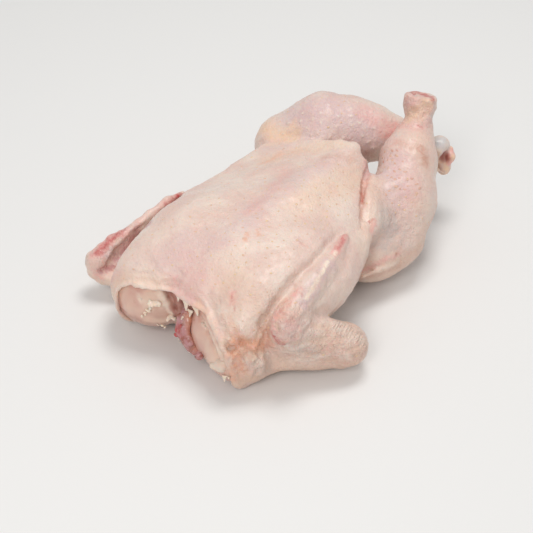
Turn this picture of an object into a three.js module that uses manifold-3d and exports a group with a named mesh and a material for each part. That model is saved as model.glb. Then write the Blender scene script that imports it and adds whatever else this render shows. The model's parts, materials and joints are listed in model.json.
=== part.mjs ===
// Whole raw chicken, drawn and oven ready, lying on its back with the breast up.
// One solid: breast, folded wings, crossed legs, skin apron, tail and the stump of the neck.
// Millimetres, +Z up. The neck end points to -Y, the feet to +Y, the bird's right side to +X.
//
// Every part of the bird is a named mass: an ellipsoid, a limb that tapers from joint to joint,
// or a web of skin between three corners. The masses run into each other over a blend width,
// as flesh does under skin. Their signed distances are sampled on a grid of cells, the surface
// between the cells is drawn as quads, and a box then cuts the flat spots that the bird lies on.

import * as THREE from 'three';
import { mergeVertices } from 'three/addons/utils/BufferGeometryUtils.js';
import Module from 'manifold-3d';

// Driving dimensions. Places are measured from the back, under the middle of the keel.
const CELL = 5.3; // side of a sampling cell
const SINK = 6; // depth of the field below the surface that the bird lies on
const ROOM = { low: [-135, -115, -SINK], high: [115, 190, 115] }; // space that holds the bird
const FAR = 1000; // distance given to a sample that no mass has reached
const ELBOW_BLEND = 5; // rounding where one stretch of a limb meets the next
const SKIN = { colour: 0xebd2c6, roughness: 0.5 };

const TORSO = { width: 112, length: 168, height: 76, lift: 34 };
const BREAST = { ridge: 9, tail: 80, crest: 70, blend: 12 };
const DRUMSTICK = { far: [24, 30, 22.5, 12], near: [18, 23, 18, 10.5], blend: 7 };
const THIGH = { width: 48, length: 66, height: 46 };
const ANKLE = { shaft: 11, knob: 13 };
const WING = { upper: 19, elbow: 16.5, wrist: 14, knuckle: 9.5, tip: 4.5 };
const APRON = { half: 8, blend: 14 };
const NECK = { base: 14, tip: 8 };
const TAIL = { width: 38, length: 48, height: 20 };
const VENT = { width: 44, depth: 27, height: 26 };

const vec = ([x, y, z]) => new THREE.Vector3(x, y, z);

/** The lesser of two distances, rounded where they are within a width k of each other. */
function blendMin(a, b, k) {
  const h = Math.max(k - Math.abs(a - b), 0) / k;
  return Math.min(a, b) - (h * h * k) / 4;
}

/** An ellipsoid about centre with half sizes radii, turned by degrees about X, then Y, then Z. */
function ellipsoid(centre, radii, turn = [0, 0, 0]) {
  const [tx, ty, tz] = turn.map(THREE.MathUtils.degToRad);
  const turned = new THREE.Matrix4().makeRotationFromEuler(new THREE.Euler(tx, ty, tz, 'ZYX'));
  const back = turned.clone().transpose();
  const middle = vec(centre);
  const half = vec(radii);
  const local = new THREE.Vector3();
  const reach = new THREE.Vector3(
    Math.hypot(...[0, 4, 8].map((i, axis) => turned.elements[i] * radii[axis])),
    Math.hypot(...[1, 5, 9].map((i, axis) => turned.elements[i] * radii[axis])),
    Math.hypot(...[2, 6, 10].map((i, axis) => turned.elements[i] * radii[axis])),
  );
  return {
    low: middle.clone().sub(reach),
    high: middle.clone().add(reach),
    distance(point) {
      local.copy(point).sub(middle).applyMatrix4(back).divide(half);
      const scaled = local.length();
      const slope = local.divide(half).length();
      return (scaled * (scaled - 1)) / Math.max(slope, 1e-9);
    },
  };
}

/** A limb through joints, with a radius at each joint. */
function limb(joints, radii) {
  const points = joints.map(vec);
  const bones = points.slice(1).map((end, i) => new THREE.Line3(points[i], end));
  const widest = Math.max(...radii);
  const box = new THREE.Box3().setFromPoints(points).expandByScalar(widest);
  const near = new THREE.Vector3();
  return {
    low: box.min,
    high: box.max,
    distance(point) {
      let nearest = FAR;
      bones.forEach((bone, i) => {
        const along = bone.closestPointToPointParameter(point, true);
        const radius = THREE.MathUtils.lerp(radii[i], radii[i + 1], along);
        const gap = bone.at(along, near).distanceTo(point) - radius;
        nearest = blendMin(nearest, gap, ELBOW_BLEND);
      });
      return nearest;
    },
  };
}

/** A web of skin and fat between three corners, half as thick as it says. */
function web(corners, half) {
  const points = corners.map(vec);
  const triangle = new THREE.Triangle(...points);
  const box = new THREE.Box3().setFromPoints(points).expandByScalar(half);
  const near = new THREE.Vector3();
  return {
    low: box.min,
    high: box.max,
    distance: (point) => triangle.closestPointToPoint(point, near).distanceTo(point) - half,
  };
}

/** Signed distances on a grid of cells, negative in the flesh. */
class Field {
  constructor(low, high, cell) {
    this.low = vec(low);
    this.cell = cell;
    this.count = high.map((top, axis) => Math.ceil((top - low[axis]) / cell) + 1);
    this.step = [1, this.count[0], this.count[0] * this.count[1]];
    this.value = new Float64Array(this.step[2] * this.count[2]).fill(FAR);
  }

  index(i, j, k) {
    return i * this.step[0] + j * this.step[1] + k * this.step[2];
  }

  /** Changes each sample near a shape by a rule of the old value and the shape's distance. */
  change(shape, blend, rule) {
    const margin = blend + 3 * this.cell;
    const first = shape.low.clone().subScalar(margin).sub(this.low).divideScalar(this.cell).floor();
    const last = shape.high.clone().addScalar(margin).sub(this.low).divideScalar(this.cell).ceil();
    const [i0, j0, k0] = first.toArray().map((n) => Math.max(n, 0));
    const [i1, j1, k1] = last.toArray().map((n, axis) => Math.min(n, this.count[axis] - 1));
    const point = new THREE.Vector3();
    for (let k = k0; k <= k1; k++) {
      for (let j = j0; j <= j1; j++) {
        for (let i = i0; i <= i1; i++) {
          point.set(i, j, k).multiplyScalar(this.cell).add(this.low);
          const at = this.index(i, j, k);
          this.value[at] = rule(this.value[at], shape.distance(point));
        }
      }
    }
  }

  add(shape, blend) {
    this.change(shape, blend, (old, gap) => blendMin(old, gap, blend));
  }

  cut(shape, blend) {
    this.change(shape, blend, (old, gap) => -blendMin(-old, gap, blend));
  }

  /** Empties the outer layer of samples, so that the surface closes inside the grid. */
  close() {
    const [nx, ny, nz] = this.count;
    for (let k = 0; k < nz; k++) {
      for (let j = 0; j < ny; j++) {
        for (let i = 0; i < nx; i++) {
          const edge = i === 0 || j === 0 || k === 0 || i === nx - 1 || j === ny - 1 || k === nz - 1;
          const at = this.index(i, j, k);
          if (edge) this.value[at] = Math.max(this.value[at], this.cell / 2);
        }
      }
    }
  }

  /** Calls visit(i, j, k, corners) for each cell, with its eight samples' indices. */
  eachCell(visit) {
    const [nx, ny, nz] = this.count;
    for (let k = 0; k < nz - 1; k++) {
      for (let j = 0; j < ny - 1; j++) {
        for (let i = 0; i < nx - 1; i++) {
          const base = this.index(i, j, k);
          visit(i, j, k, CORNERS.map(([a, b, c]) => base + this.index(a, b, c)));
        }
      }
    }
  }

  /** Fills the cells where two stretches of skin would touch at a point or along an edge. */
  settle() {
    const barely = -0.01 * this.cell;
    let changed = true;
    while (changed) {
      changed = false;
      this.eachCell((i, j, k, corners) => {
        const inside = corners.map((at) => this.value[at] < 0);
        if (oneGroup(inside, true) && oneGroup(inside, false)) return;
        const open = corners.filter((at, n) => !inside[n]);
        const nearest = open.reduce((a, b) => (this.value[a] < this.value[b] ? a : b));
        this.value[nearest] = barely;
        changed = true;
      });
    }
  }
}

const CORNERS = [0, 1, 2, 3, 4, 5, 6, 7].map((n) => [n & 1, (n >> 1) & 1, (n >> 2) & 1]);
const EDGES = CORNERS.flatMap((_, n) => [1, 2, 4].filter((bit) => !(n & bit)).map((bit) => [n, n | bit]));

/** Whether the corners of a cell that are inside, or outside, hang together by its edges. */
function oneGroup(inside, wanted) {
  const members = CORNERS.map((_, n) => n).filter((n) => inside[n] === wanted);
  if (members.length < 2) return true;
  const reached = new Set([members[0]]);
  for (const _ of members) {
    for (const [a, b] of EDGES) {
      if (inside[a] !== wanted || inside[b] !== wanted) continue;
      if (reached.has(a)) reached.add(b);
      if (reached.has(b)) reached.add(a);
    }
  }
  return reached.size === members.length;
}

/** The surface of a field: one vertex in each cell that it crosses, one quad round each edge. */
function surface(field) {
  const { value, cell, count, step } = field;
  const vertexOf = new Map();
  const positions = [];
  field.eachCell((i, j, k, corners) => {
    const crossing = new THREE.Vector3();
    let crossings = 0;
    for (const [a, b] of EDGES) {
      const va = value[corners[a]];
      const vb = value[corners[b]];
      if (va < 0 === vb < 0) continue;
      crossing.add(vec(CORNERS[a]).lerp(vec(CORNERS[b]), va / (va - vb)));
      crossings += 1;
    }
    if (!crossings) return;
    vertexOf.set(corners[0], positions.length / 3);
    crossing.divideScalar(crossings).add(vec([i, j, k])).multiplyScalar(cell).add(field.low);
    positions.push(...crossing.toArray());
  });

  const triangles = [];
  const corner = (vertex) => new THREE.Vector3().fromArray(positions, 3 * vertex);
  const addQuad = (quad) => {
    const [a, b, c, d] = quad;
    const acrossAC = corner(a).distanceTo(corner(c)) <= corner(b).distanceTo(corner(d));
    triangles.push(...(acrossAC ? [a, b, c, a, c, d] : [a, b, d, b, c, d]));
  };
  for (let k = 0; k < count[2] - 1; k++) {
    for (let j = 0; j < count[1] - 1; j++) {
      for (let i = 0; i < count[0] - 1; i++) {
        const here = field.index(i, j, k);
        for (let axis = 0; axis < 3; axis++) {
          const leaves = value[here] < 0;
          if (leaves === value[here + step[axis]] < 0) continue;
          const u = step[(axis + 1) % 3];
          const v = step[(axis + 2) % 3];
          const quad = [here - u - v, here - v, here, here - u].map((at) => vertexOf.get(at));
          addQuad(leaves ? quad : quad.reverse());
        }
      }
    }
  }
  return { positions, triangles };
}

function torso(bird) {
  const { width, length, height, lift } = TORSO;
  bird.add(ellipsoid([-3, 0, lift], [width / 2, length / 2, height / 2]), BREAST.blend);
  bird.add(ellipsoid([27, -16, 44], [36, 68, 34], [0, 16, 5]), BREAST.blend);
  bird.add(ellipsoid([-32, -16, 44], [40, 68, 33], [0, -14, -5]), BREAST.blend);
  bird.add(ellipsoid([0, 40, 44], [50, 54, 33]), BREAST.blend);
  const { ridge, tail, crest } = BREAST;
  const keel = [[0, -66, crest - 20], [0, -40, crest - 6], [0, 20, crest], [0, tail, crest]];
  bird.add(limb(keel, [ridge, ridge, ridge, ridge - 1]), 20);
}

function breastEnds(bird) {
  bird.add(ellipsoid([29, -64, 25], [27, 30, 30]), 8);
  bird.add(ellipsoid([-45, -67, 32], [30, 29, 30]), 8);
  bird.cut(limb([[-4, -118, 62], [-5, -96, 36], [-8, -94, -8]], [17, 16, 15]), 5);
}

function neckStump(bird) {
  bird.add(limb([[0, -58, 26], [-2, -72, 20], [-3, -78, 12]], [NECK.base, 11, NECK.tip]), 4);
}

function apron(bird) {
  const { half, blend } = APRON;
  const keelTip = [0, BREAST.tail + 2, BREAST.crest + 1];
  bird.add(web([keelTip, [-64, 84, 55], [-72, 0, 48]], half), blend);
  bird.add(web([[0, -20, 60], [-50, -40, 54], [-68, 0, 44]], half), blend);
  bird.add(web([keelTip, [30, 70, 50], [46, 0, 40]], half - 2), blend - 4);
}

function tailAndVent(bird) {
  const { width, length, height } = TAIL;
  bird.add(ellipsoid([-1, 94, 13], [width / 2, length / 2, height / 2], [-6, 0, 0]), 8);
  bird.cut(ellipsoid([0, 98, 41], [VENT.width / 2, VENT.depth, VENT.height / 2]), 6);
}

function farLeg(bird) {
  const shin = [[-65, 94, 52], [-46, 116, 58], [-19, 136, 56], [6, 147, 49]];
  bird.add(limb(shin, DRUMSTICK.far), DRUMSTICK.blend);
  bird.add(limb([[8, 148, 50], [21, 153, 51]], [10, 10]), 5);
  bird.add(limb([[24, 158, 55], [28, 158, 44]], [8, 7]), 3);
  bird.add(ellipsoid([-44, 64, 30], [31, 40, 30], [0, 0, 25]), 10);
}

function nearLeg(bird) {
  const shin = [[44, 80, 29], [35, 98, 45], [17, 121, 61], [11, 139, 72]];
  bird.add(limb(shin, DRUMSTICK.near), DRUMSTICK.blend);
  bird.add(limb([[13, 143, 78], [9, 149, 85]], [ANKLE.shaft, ANKLE.knob]), 5);
  const { width, length, height } = THIGH;
  bird.add(ellipsoid([34, 60, 22], [width / 2, length / 2, height / 2], [0, 0, -10]), 8);
}

function nearWing(bird) {
  bird.add(limb([[40, -56, 22], [74, -24, 15]], [WING.upper, WING.elbow]), 6);
  bird.add(limb([[79, -20, 19], [54, -50, 38]], [WING.elbow, WING.wrist]), 5);
  bird.add(web([[54, -54, 36], [80, -22, 18], [42, -60, 14]], 9), 6);
  const hand = [[55, -56, 43], [53, -28, 57], [43, 19, 65]];
  bird.add(limb(hand, [WING.wrist - 1, WING.knuckle, WING.tip]), 3);
}

function farWing(bird) {
  bird.add(limb([[-48, -66, 20], [-80, -40, 18]], [WING.elbow, WING.wrist]), 6);
  bird.add(limb([[-80, -38, 18], [-92, -64, 20]], [WING.wrist, WING.wrist - 1]), 6);
  const hand = [[-94, -66, 27], [-95, -42, 36], [-87, 6, 47]];
  bird.add(limb(hand, [WING.wrist - 2, WING.knuckle, WING.tip]), 5);
  bird.add(limb([[-96, -62, 34], [-93, -44, 42]], [7, WING.tip]), 3);
  bird.add(web([[-90, -50, 18], [-84, -4, 33], [-62, -26, 28]], 6.5), 6);
}

const wasm = await Module();
wasm.setup();

/** A closed solid from merged positions and triangles. */
function solid(positions, triangles) {
  const vertProperties = Float32Array.from(positions);
  const triVerts = Uint32Array.from(triangles);
  return new wasm.Manifold(new wasm.Mesh({ numProp: 3, vertProperties, triVerts }));
}

/** The ground that the bird lies on, as a solid whose top is at Z 0. */
function ground() {
  const size = new THREE.Vector3(...ROOM.high).sub(vec(ROOM.low)).multiplyScalar(2);
  const block = new THREE.BoxGeometry(size.x, size.y, 4 * SINK).translate(0, 0, -2 * SINK);
  block.deleteAttribute('normal');
  block.deleteAttribute('uv');
  const merged = mergeVertices(block);
  return solid(merged.attributes.position.array, merged.index.array);
}

/** The bird's skin as one geometry, with its origin under the middle of its box. */
function birdGeometry() {
  const bird = new Field(ROOM.low, ROOM.high, CELL);
  [torso, breastEnds, neckStump, apron, tailAndVent, farLeg, nearLeg, nearWing, farWing].forEach((part) => part(bird));
  bird.close();
  bird.settle();
  const { positions, triangles } = surface(bird);
  const { vertProperties, triVerts } = solid(positions, triangles).subtract(ground()).getMesh();
  const geometry = new THREE.BufferGeometry();
  geometry.setAttribute('position', new THREE.BufferAttribute(vertProperties, 3));
  geometry.setIndex(new THREE.BufferAttribute(triVerts, 1));
  geometry.computeBoundingBox();
  const middle = geometry.boundingBox.getCenter(new THREE.Vector3());
  geometry.translate(-middle.x, -middle.y, -geometry.boundingBox.min.z);
  geometry.computeVertexNormals();
  return geometry;
}

const chicken = new THREE.Mesh(
  birdGeometry(),
  new THREE.MeshStandardMaterial({ color: SKIN.colour, roughness: SKIN.roughness, metalness: 0 }),
);
chicken.name = 'chicken';

const wholeChicken = new THREE.Group();
wholeChicken.add(chicken);

export default wholeChicken;
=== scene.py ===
"""Dresses a whole raw chicken: skin, breast meat, neck, bone ends, pores and scraps of fat.

The bird's masses are the same as in the part's source, sampled finely, with the folds, creases
and pleats of its skin added. Lengths are millimetres from the middle of the back until a mesh
is written, and metres from there on.
"""

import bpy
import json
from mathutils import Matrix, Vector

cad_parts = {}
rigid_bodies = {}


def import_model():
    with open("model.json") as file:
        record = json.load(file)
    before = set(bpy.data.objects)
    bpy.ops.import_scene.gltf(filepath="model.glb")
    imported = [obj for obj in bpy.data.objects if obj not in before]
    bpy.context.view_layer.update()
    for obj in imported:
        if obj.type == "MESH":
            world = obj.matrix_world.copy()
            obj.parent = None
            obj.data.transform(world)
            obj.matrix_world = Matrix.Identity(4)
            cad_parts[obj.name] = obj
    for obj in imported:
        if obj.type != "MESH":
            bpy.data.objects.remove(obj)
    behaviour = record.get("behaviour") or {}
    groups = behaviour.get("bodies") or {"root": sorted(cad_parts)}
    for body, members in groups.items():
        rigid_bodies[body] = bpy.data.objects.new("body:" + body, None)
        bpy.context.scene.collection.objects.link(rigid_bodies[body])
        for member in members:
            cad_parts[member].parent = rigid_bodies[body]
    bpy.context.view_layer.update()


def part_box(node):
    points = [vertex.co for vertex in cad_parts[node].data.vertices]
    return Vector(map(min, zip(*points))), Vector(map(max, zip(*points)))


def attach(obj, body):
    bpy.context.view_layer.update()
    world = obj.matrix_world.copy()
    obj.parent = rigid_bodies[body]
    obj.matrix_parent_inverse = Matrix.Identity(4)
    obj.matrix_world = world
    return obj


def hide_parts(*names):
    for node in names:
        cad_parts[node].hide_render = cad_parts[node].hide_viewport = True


bl_info = {
    "name": "Whole raw chicken",
    "version": (1, 0, 0),
    "blender": (4, 5, 0),
    "location": "View3D > Sidebar > Chicken",
    "description": "Builds the skin, meat, neck, bone ends and pores of a whole raw chicken",
    "category": "Object",
}

import json
import math

import bpy
import numpy as np
from bpy.props import FloatProperty, FloatVectorProperty, PointerProperty
from mathutils import Matrix, Vector
from mathutils.bvhtree import BVHTree

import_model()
NODE = "chicken"
CAD_LOW, CAD_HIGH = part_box(NODE)

MM = 0.001
CAD_CELL = 5.3  # cell of the CAD solid, which ties this model to its frame
SINK = 6  # how far the sampled room goes below the ground
ROOM_LOW = (-135, -115, -SINK)
ROOM_HIGH = (115, 190, 115)
FAR = 1000.0  # a distance past every shape
TINY = 1e-9  # keeps a division from zero
ELBOW_BLEND = 5
LATTICE = 64  # noise repeats after so many of its pitches

# The view from which the marks below are sighted, as pixels of a square frame.
FRAME_PIXELS = 533
VIEW_AZIMUTH = 40.0
VIEW_ELEVATION = 38.5
VIEW_DISTANCE = 950.0
VIEW_FOCAL_PIXELS = 1335.0
VIEW_AIM = (-31.2, 30.1, 0.0)
VIEW_CENTRE = (266.0, 260.5)
SENSOR = 36.0
SIGHT_CELL = 2.2  # cell of the coarse surfaces that the marks are sighted on
SIGHT_TRIALS = (820.0, 1080.0, 4.0)  # distances at which a ray that misses looks for the surface


# ---------------------------------------------------------------- shapes as distances


def turned(degrees):
    """Rotation matrix from turns about X, then Y, then Z."""
    x, y, z = np.radians(degrees)
    about_x = np.array([[1, 0, 0], [0, np.cos(x), -np.sin(x)], [0, np.sin(x), np.cos(x)]])
    about_y = np.array([[np.cos(y), 0, np.sin(y)], [0, 1, 0], [-np.sin(y), 0, np.cos(y)]])
    about_z = np.array([[np.cos(z), -np.sin(z), 0], [np.sin(z), np.cos(z), 0], [0, 0, 1]])
    return about_z @ about_y @ about_x


def blend_min(a, b, width):
    """The lesser of two distances, rounded where they are within a width of each other."""
    h = np.maximum(width - np.abs(a - b), 0) / width
    return np.minimum(a, b) - h * h * width / 4


def length_of(vectors):
    return np.sqrt(np.einsum("...i,...i->...", vectors, vectors))


def along_bone(points, start, end):
    """How far along a bone each point lies, from 0 to 1, and its distance from the bone."""
    bone = end - start
    along = np.clip(((points - start) @ bone) / (bone @ bone), 0, 1)
    return along, length_of(points - start - along[..., None] * bone)


def gap_to_line(points, line):
    """Distance of points from a polyline, or from its only place."""
    if len(line) == 1:
        return length_of(points - line[0])
    nearest = np.full(points.shape[:-1], FAR)
    for start, end in zip(line[:-1], line[1:]):
        nearest = np.minimum(nearest, along_bone(points, start, end)[1])
    return nearest


def eased(value):
    """Smooth step of a value that runs from 0 to 1."""
    held = np.clip(value, 0, 1)
    return held * held * (3 - 2 * held)


def nearness(gap, reach, slope=1.3):
    """1 at no gap and 0 at the reach, and a slope over 1 widens the part that is full."""
    return eased(slope * (1 - gap / reach))


class Shape:
    """A distance function with the corners of the box that holds its shape."""

    def __init__(self, distance, low, high):
        self.distance = distance
        self.low = np.asarray(low, float)
        self.high = np.asarray(high, float)


def ellipsoid(centre, radii, turn=(0, 0, 0)):
    middle = np.array(centre, float)
    half = np.array(radii, float)
    axes = turned(turn)

    def distance(points):
        local = (points - middle) @ axes
        scaled = length_of(local / half)
        slope = length_of(local / half**2)
        return scaled * (scaled - 1) / np.maximum(slope, TINY)

    reach = np.sqrt(((axes * half) ** 2).sum(1))
    return Shape(distance, middle - reach, middle + reach)


def limb(joints, radii, joint_blend=ELBOW_BLEND):
    """A chain of bones that taper from joint to joint."""
    points = np.array(joints, float)
    thick = np.array(radii, float)

    def distance(samples):
        nearest = None
        for start, end, first, last in zip(points[:-1], points[1:], thick[:-1], thick[1:]):
            along, gap = along_bone(samples, start, end)
            gap = gap - (first + (last - first) * along)
            nearest = gap if nearest is None else blend_min(nearest, gap, joint_blend)
        return nearest

    return Shape(distance, points.min(0) - thick.max(), points.max(0) + thick.max())


def web(corners, half):
    """A web of skin and fat between three corners, half as thick as it says."""
    a, b, c = (np.array(corner, float) for corner in corners)
    normal = np.cross(b - a, a - c)
    edges = ((a, b), (b, c), (c, a))

    def distance(points):
        sides = sum(np.sign((points - start) @ np.cross(end - start, normal)) for start, end in edges)
        rim = np.min([along_bone(points, start, end)[1] for start, end in edges], 0)
        flat = np.abs((points - a) @ normal) / np.linalg.norm(normal)
        return np.where(sides < 2, rim, flat) - half

    corners = np.stack([a, b, c])
    return Shape(distance, corners.min(0) - half, corners.max(0) + half)


def joined(shapes, blend):
    """Shapes run together into one."""

    def distance(points):
        nearest = shapes[0].distance(points)
        for shape in shapes[1:]:
            nearest = blend_min(nearest, shape.distance(points), blend)
        return nearest

    low = np.min([shape.low for shape in shapes], 0)
    high = np.max([shape.high for shape in shapes], 0)
    return Shape(distance, low, high)


MARGIN_CELLS = 3  # cells past a shape's box that still feel the shape
LOOSE_SLOPE = 1.8


class Field:
    """Signed distances on a grid of cells, negative inside."""

    def __init__(self, cell, low=ROOM_LOW, high=ROOM_HIGH):
        self.low = np.array(low, float)
        self.cell = cell
        self.count = np.ceil((np.array(high) - self.low) / cell).astype(int) + 1
        self.value = np.full(tuple(self.count), FAR, np.float32)

    def block(self, low, high):
        """The slices between two corners, and the places of the samples in them."""
        first = np.clip(np.floor((low - self.low) / self.cell).astype(int), 0, self.count)
        last = np.clip(np.ceil((high - self.low) / self.cell).astype(int) + 1, 0, self.count)
        axes = [self.low[i] + self.cell * np.arange(first[i], last[i]) for i in range(3)]
        return tuple(map(slice, first, last)), np.stack(np.meshgrid(*axes, indexing="ij"), -1)

    def change(self, shape, blend, rule):
        margin = blend + MARGIN_CELLS * self.cell
        where, points = self.block(shape.low - margin, shape.high + margin)
        if points.size:
            self.value[where] = rule(self.value[where], shape.distance(points).astype(np.float32))

    def add(self, shape, blend):
        self.change(shape, blend, lambda old, gap: blend_min(old, gap, blend))

    def lay(self, shape, tight, loose, line, reach):
        """Adds a shape whose join is tight, but loose within reach of a line of places."""
        margin = loose + MARGIN_CELLS * self.cell
        where, points = self.block(shape.low - margin, shape.high + margin)
        width = tight + (loose - tight) * nearness(gap_to_line(points, line), reach, LOOSE_SLOPE)
        self.value[where] = blend_min(self.value[where], shape.distance(points), width)

    def cut(self, shape, blend):
        self.change(shape, blend, lambda old, gap: -blend_min(-old, gap, blend))

    def rest_on_ground(self):
        heights = self.low[2] + self.cell * np.arange(self.count[2])
        self.value = np.maximum(self.value, -heights[None, None, :].astype(np.float32))

    def close(self):
        """Empties the outer samples, so that the surface closes inside the grid."""
        for axis in range(3):
            for end in (0, -1):
                face = [slice(None)] * 3
                face[axis] = end
                self.value[tuple(face)] = np.maximum(self.value[tuple(face)], self.cell / 2)


CORNERS = [(n & 1, n >> 1 & 1, n >> 2 & 1) for n in range(8)]
EDGES = [(n, n | bit) for n in range(8) for bit in (1, 2, 4) if not n & bit]


def surface(field):
    """Vertices and quads of a field's surface: a vertex in each crossed cell, a quad round each edge."""
    value = field.value
    inside = value < 0
    size = np.array(value.shape)

    def seen_from(corner):
        return inside[tuple(slice(c, n - 1 + c) for c, n in zip(corner, size))].astype(int)

    filled = sum(seen_from(corner) for corner in CORNERS)
    cells = np.argwhere((filled > 0) & (filled < 8))
    index = np.full(tuple(size - 1), -1)
    index[tuple(cells.T)] = np.arange(len(cells))

    crossing = np.zeros((len(cells), 3))
    crossings = np.zeros(len(cells))
    at = [value[tuple((cells + corner).T)].astype(float) for corner in CORNERS]
    for a, b in EDGES:
        crossed = (at[a] < 0) != (at[b] < 0)
        along = np.where(crossed, at[a] / np.where(crossed, at[a] - at[b], 1), 0)
        place = np.array(CORNERS[a]) + along[:, None] * (np.array(CORNERS[b]) - CORNERS[a])
        crossing += place * crossed[:, None]
        crossings += crossed
    vertices = field.low + field.cell * (cells + crossing / crossings[:, None])

    quads = []
    for axis in range(3):
        u, v = (axis + 1) % 3, (axis + 2) % 3
        here = [slice(0, n - 1) for n in size]
        there = list(here)
        there[axis] = slice(1, size[axis])
        leaves, enters = inside[tuple(here)], inside[tuple(there)]
        edges = np.argwhere(leaves != enters)

        def cell(du, dv):
            place = edges.copy()
            place[:, u] -= du
            place[:, v] -= dv
            return index[tuple(place.T)]

        quad = np.stack([cell(1, 1), cell(0, 1), cell(0, 0), cell(1, 0)], 1)
        inward = ~leaves[tuple(edges.T)]
        quad[inward] = quad[inward][:, ::-1]
        quads.append(quad)
    return vertices, np.concatenate(quads)


def relaxed(vertices, quads, rounds, share):
    """Vertices moved towards the mean of their neighbours, which takes the cells' steps away."""
    ends = np.concatenate([quads[:, [i, (i + 1) % 4]] for i in range(4)])
    weight = np.bincount(ends[:, 0], minlength=len(vertices))[:, None]
    for _ in range(rounds):
        total = np.zeros_like(vertices)
        np.add.at(total, ends[:, 0], vertices[ends[:, 1]])
        vertices = vertices + share * (total / np.maximum(weight, 1) - vertices)
    return vertices


def unevenness(points, pitch, seed):
    """Smooth noise between -1 and 1 with bumps about a pitch apart."""
    lattice = np.random.default_rng(seed).uniform(-1, 1, (LATTICE,) * 3)
    scaled = points / pitch
    low = np.floor(scaled).astype(int)
    part = scaled - low
    part = part * part * (3 - 2 * part)
    total = np.zeros(points.shape[:-1])
    for corner in CORNERS:
        share = np.ones(points.shape[:-1])
        for axis in range(3):
            share = share * (part[..., axis] if corner[axis] else 1 - part[..., axis])
        where = (low + corner) % LATTICE
        total += share * lattice[where[..., 0], where[..., 1], where[..., 2]]
    return total


def layered(points, layers):
    """Layers of noise on one another, each with its height, pitch and seed."""
    return sum(height * unevenness(points, pitch, seed) for height, pitch, seed in layers)


def faces_out(vertices, quads):
    """The quads turned so that they hold a positive volume."""
    a, b, c, d = (vertices[quads[:, i]] for i in range(4))
    volume = np.einsum("ij,ij->", a, np.cross(b, c)) + np.einsum("ij,ij->", a, np.cross(c, d))
    return quads if volume > 0 else quads[:, ::-1]


def normals_of(vertices, quads):
    a, b, c, d = (vertices[quads[:, i]] for i in range(4))
    across = np.cross(c - a, d - b)
    total = np.zeros_like(vertices)
    for i in range(4):
        np.add.at(total, quads[:, i], across)
    return total / np.maximum(length_of(total), TINY)[:, None]


def smooth_surface(field, rounds=2, share=0.5):
    """Vertices and quads of a field's surface, closed inside the grid, facing out and relaxed."""
    field.close()
    vertices, quads = surface(field)
    quads = faces_out(vertices, quads)
    return relaxed(vertices, quads, rounds, share), quads


def roughened(vertices, quads, *layers):
    """Vertices moved along their normals by layers of noise."""
    return vertices + normals_of(vertices, quads) * layered(vertices, layers)[:, None]


# ---------------------------------------------------------------- the bird's masses


def torso(bird):
    bird.add(ellipsoid((-3, 0, 34), (56, 84, 38)), 12)
    bird.add(ellipsoid((27, -16, 44), (36, 68, 34), (0, 16, 5)), 12)
    bird.add(ellipsoid((-32, -16, 44), (40, 68, 33), (0, -14, -5)), 12)
    bird.add(ellipsoid((0, 40, 44), (50, 54, 33)), 12)
    bird.add(limb([(0, -66, 50), (0, -40, 64), (0, 20, 70), (0, 80, 70)], [9, 9, 9, 8]), 20)


def breast_ends(bird):
    bird.add(ellipsoid((29, -64, 25), (27, 30, 30)), 8)
    bird.add(ellipsoid((-45, -67, 32), (30, 29, 30)), 8)
    bird.cut(limb([(-4, -118, 62), (-5, -96, 36), (-8, -94, -8)], [17, 16, 15]), 5)


def neck_stump(bird):
    bird.add(limb([(0, -58, 26), (-2, -72, 20), (-3, -78, 12)], [14, 11, 8]), 4)


def apron(bird):
    keel_tip = (0, 82, 71)
    bird.add(web([keel_tip, (-64, 84, 55), (-72, 0, 48)], 8), 14)
    bird.add(web([(0, -20, 60), (-50, -40, 54), (-68, 0, 44)], 8), 14)
    bird.add(web([keel_tip, (30, 70, 50), (46, 0, 40)], 6), 10)


def tail_and_vent(bird):
    bird.add(ellipsoid((-1, 94, 13), (19, 24, 10), (-6, 0, 0)), 8)
    bird.cut(ellipsoid((0, 98, 41), (22, 27, 13)), 6)


def far_leg(bird):
    shin = [(-65, 94, 52), (-46, 116, 58), (-19, 136, 56), (6, 147, 49)]
    bird.add(limb(shin, [24, 30, 22.5, 12]), 7)
    far_ankle_and_thigh(bird)


def far_ankle_and_thigh(bird):
    bird.add(limb([(8, 148, 50), (21, 153, 51)], [10, 10]), 5)
    bird.add(limb([(24, 158, 55), (28, 158, 44)], [8, 7]), 3)
    bird.add(ellipsoid((-44, 64, 30), (31, 40, 30), (0, 0, 25)), 10)


def near_leg(bird):
    shin = [(44, 80, 29), (35, 98, 45), (17, 121, 61), (11, 139, 72)]
    bird.add(limb(shin, [18, 23, 18, 10.5]), 7)
    bird.add(limb([(13, 143, 78), (9, 149, 85)], [11, 13]), 5)
    bird.add(ellipsoid((34, 60, 22), (24, 33, 23), (0, 0, -10)), 8)


def near_wing(bird):
    bird.add(limb([(40, -56, 22), (74, -24, 15)], [19, 16.5]), 6)
    bird.add(limb([(79, -20, 19), (54, -50, 38)], [16.5, 14]), 5)
    bird.add(web([(54, -54, 36), (80, -22, 18), (42, -60, 14)], 9), 6)
    bird.add(limb([(55, -56, 43), (53, -28, 57), (43, 19, 65)], [13, 9.5, 4.5]), 3)


def far_wing(bird):
    bird.add(limb([(-48, -66, 20), (-80, -40, 18)], [16.5, 14]), 6)
    bird.add(limb([(-80, -38, 18), (-92, -64, 20)], [14, 13]), 6)
    bird.add(limb([(-94, -66, 27), (-95, -42, 36), (-87, 6, 47)], [12, 9.5, 4.5]), 5)
    bird.add(limb([(-96, -62, 34), (-93, -44, 42)], [7, 4.5]), 3)
    bird.add(web([(-90, -50, 18), (-84, -4, 33), (-62, -26, 28)], 6.5), 6)


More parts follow.
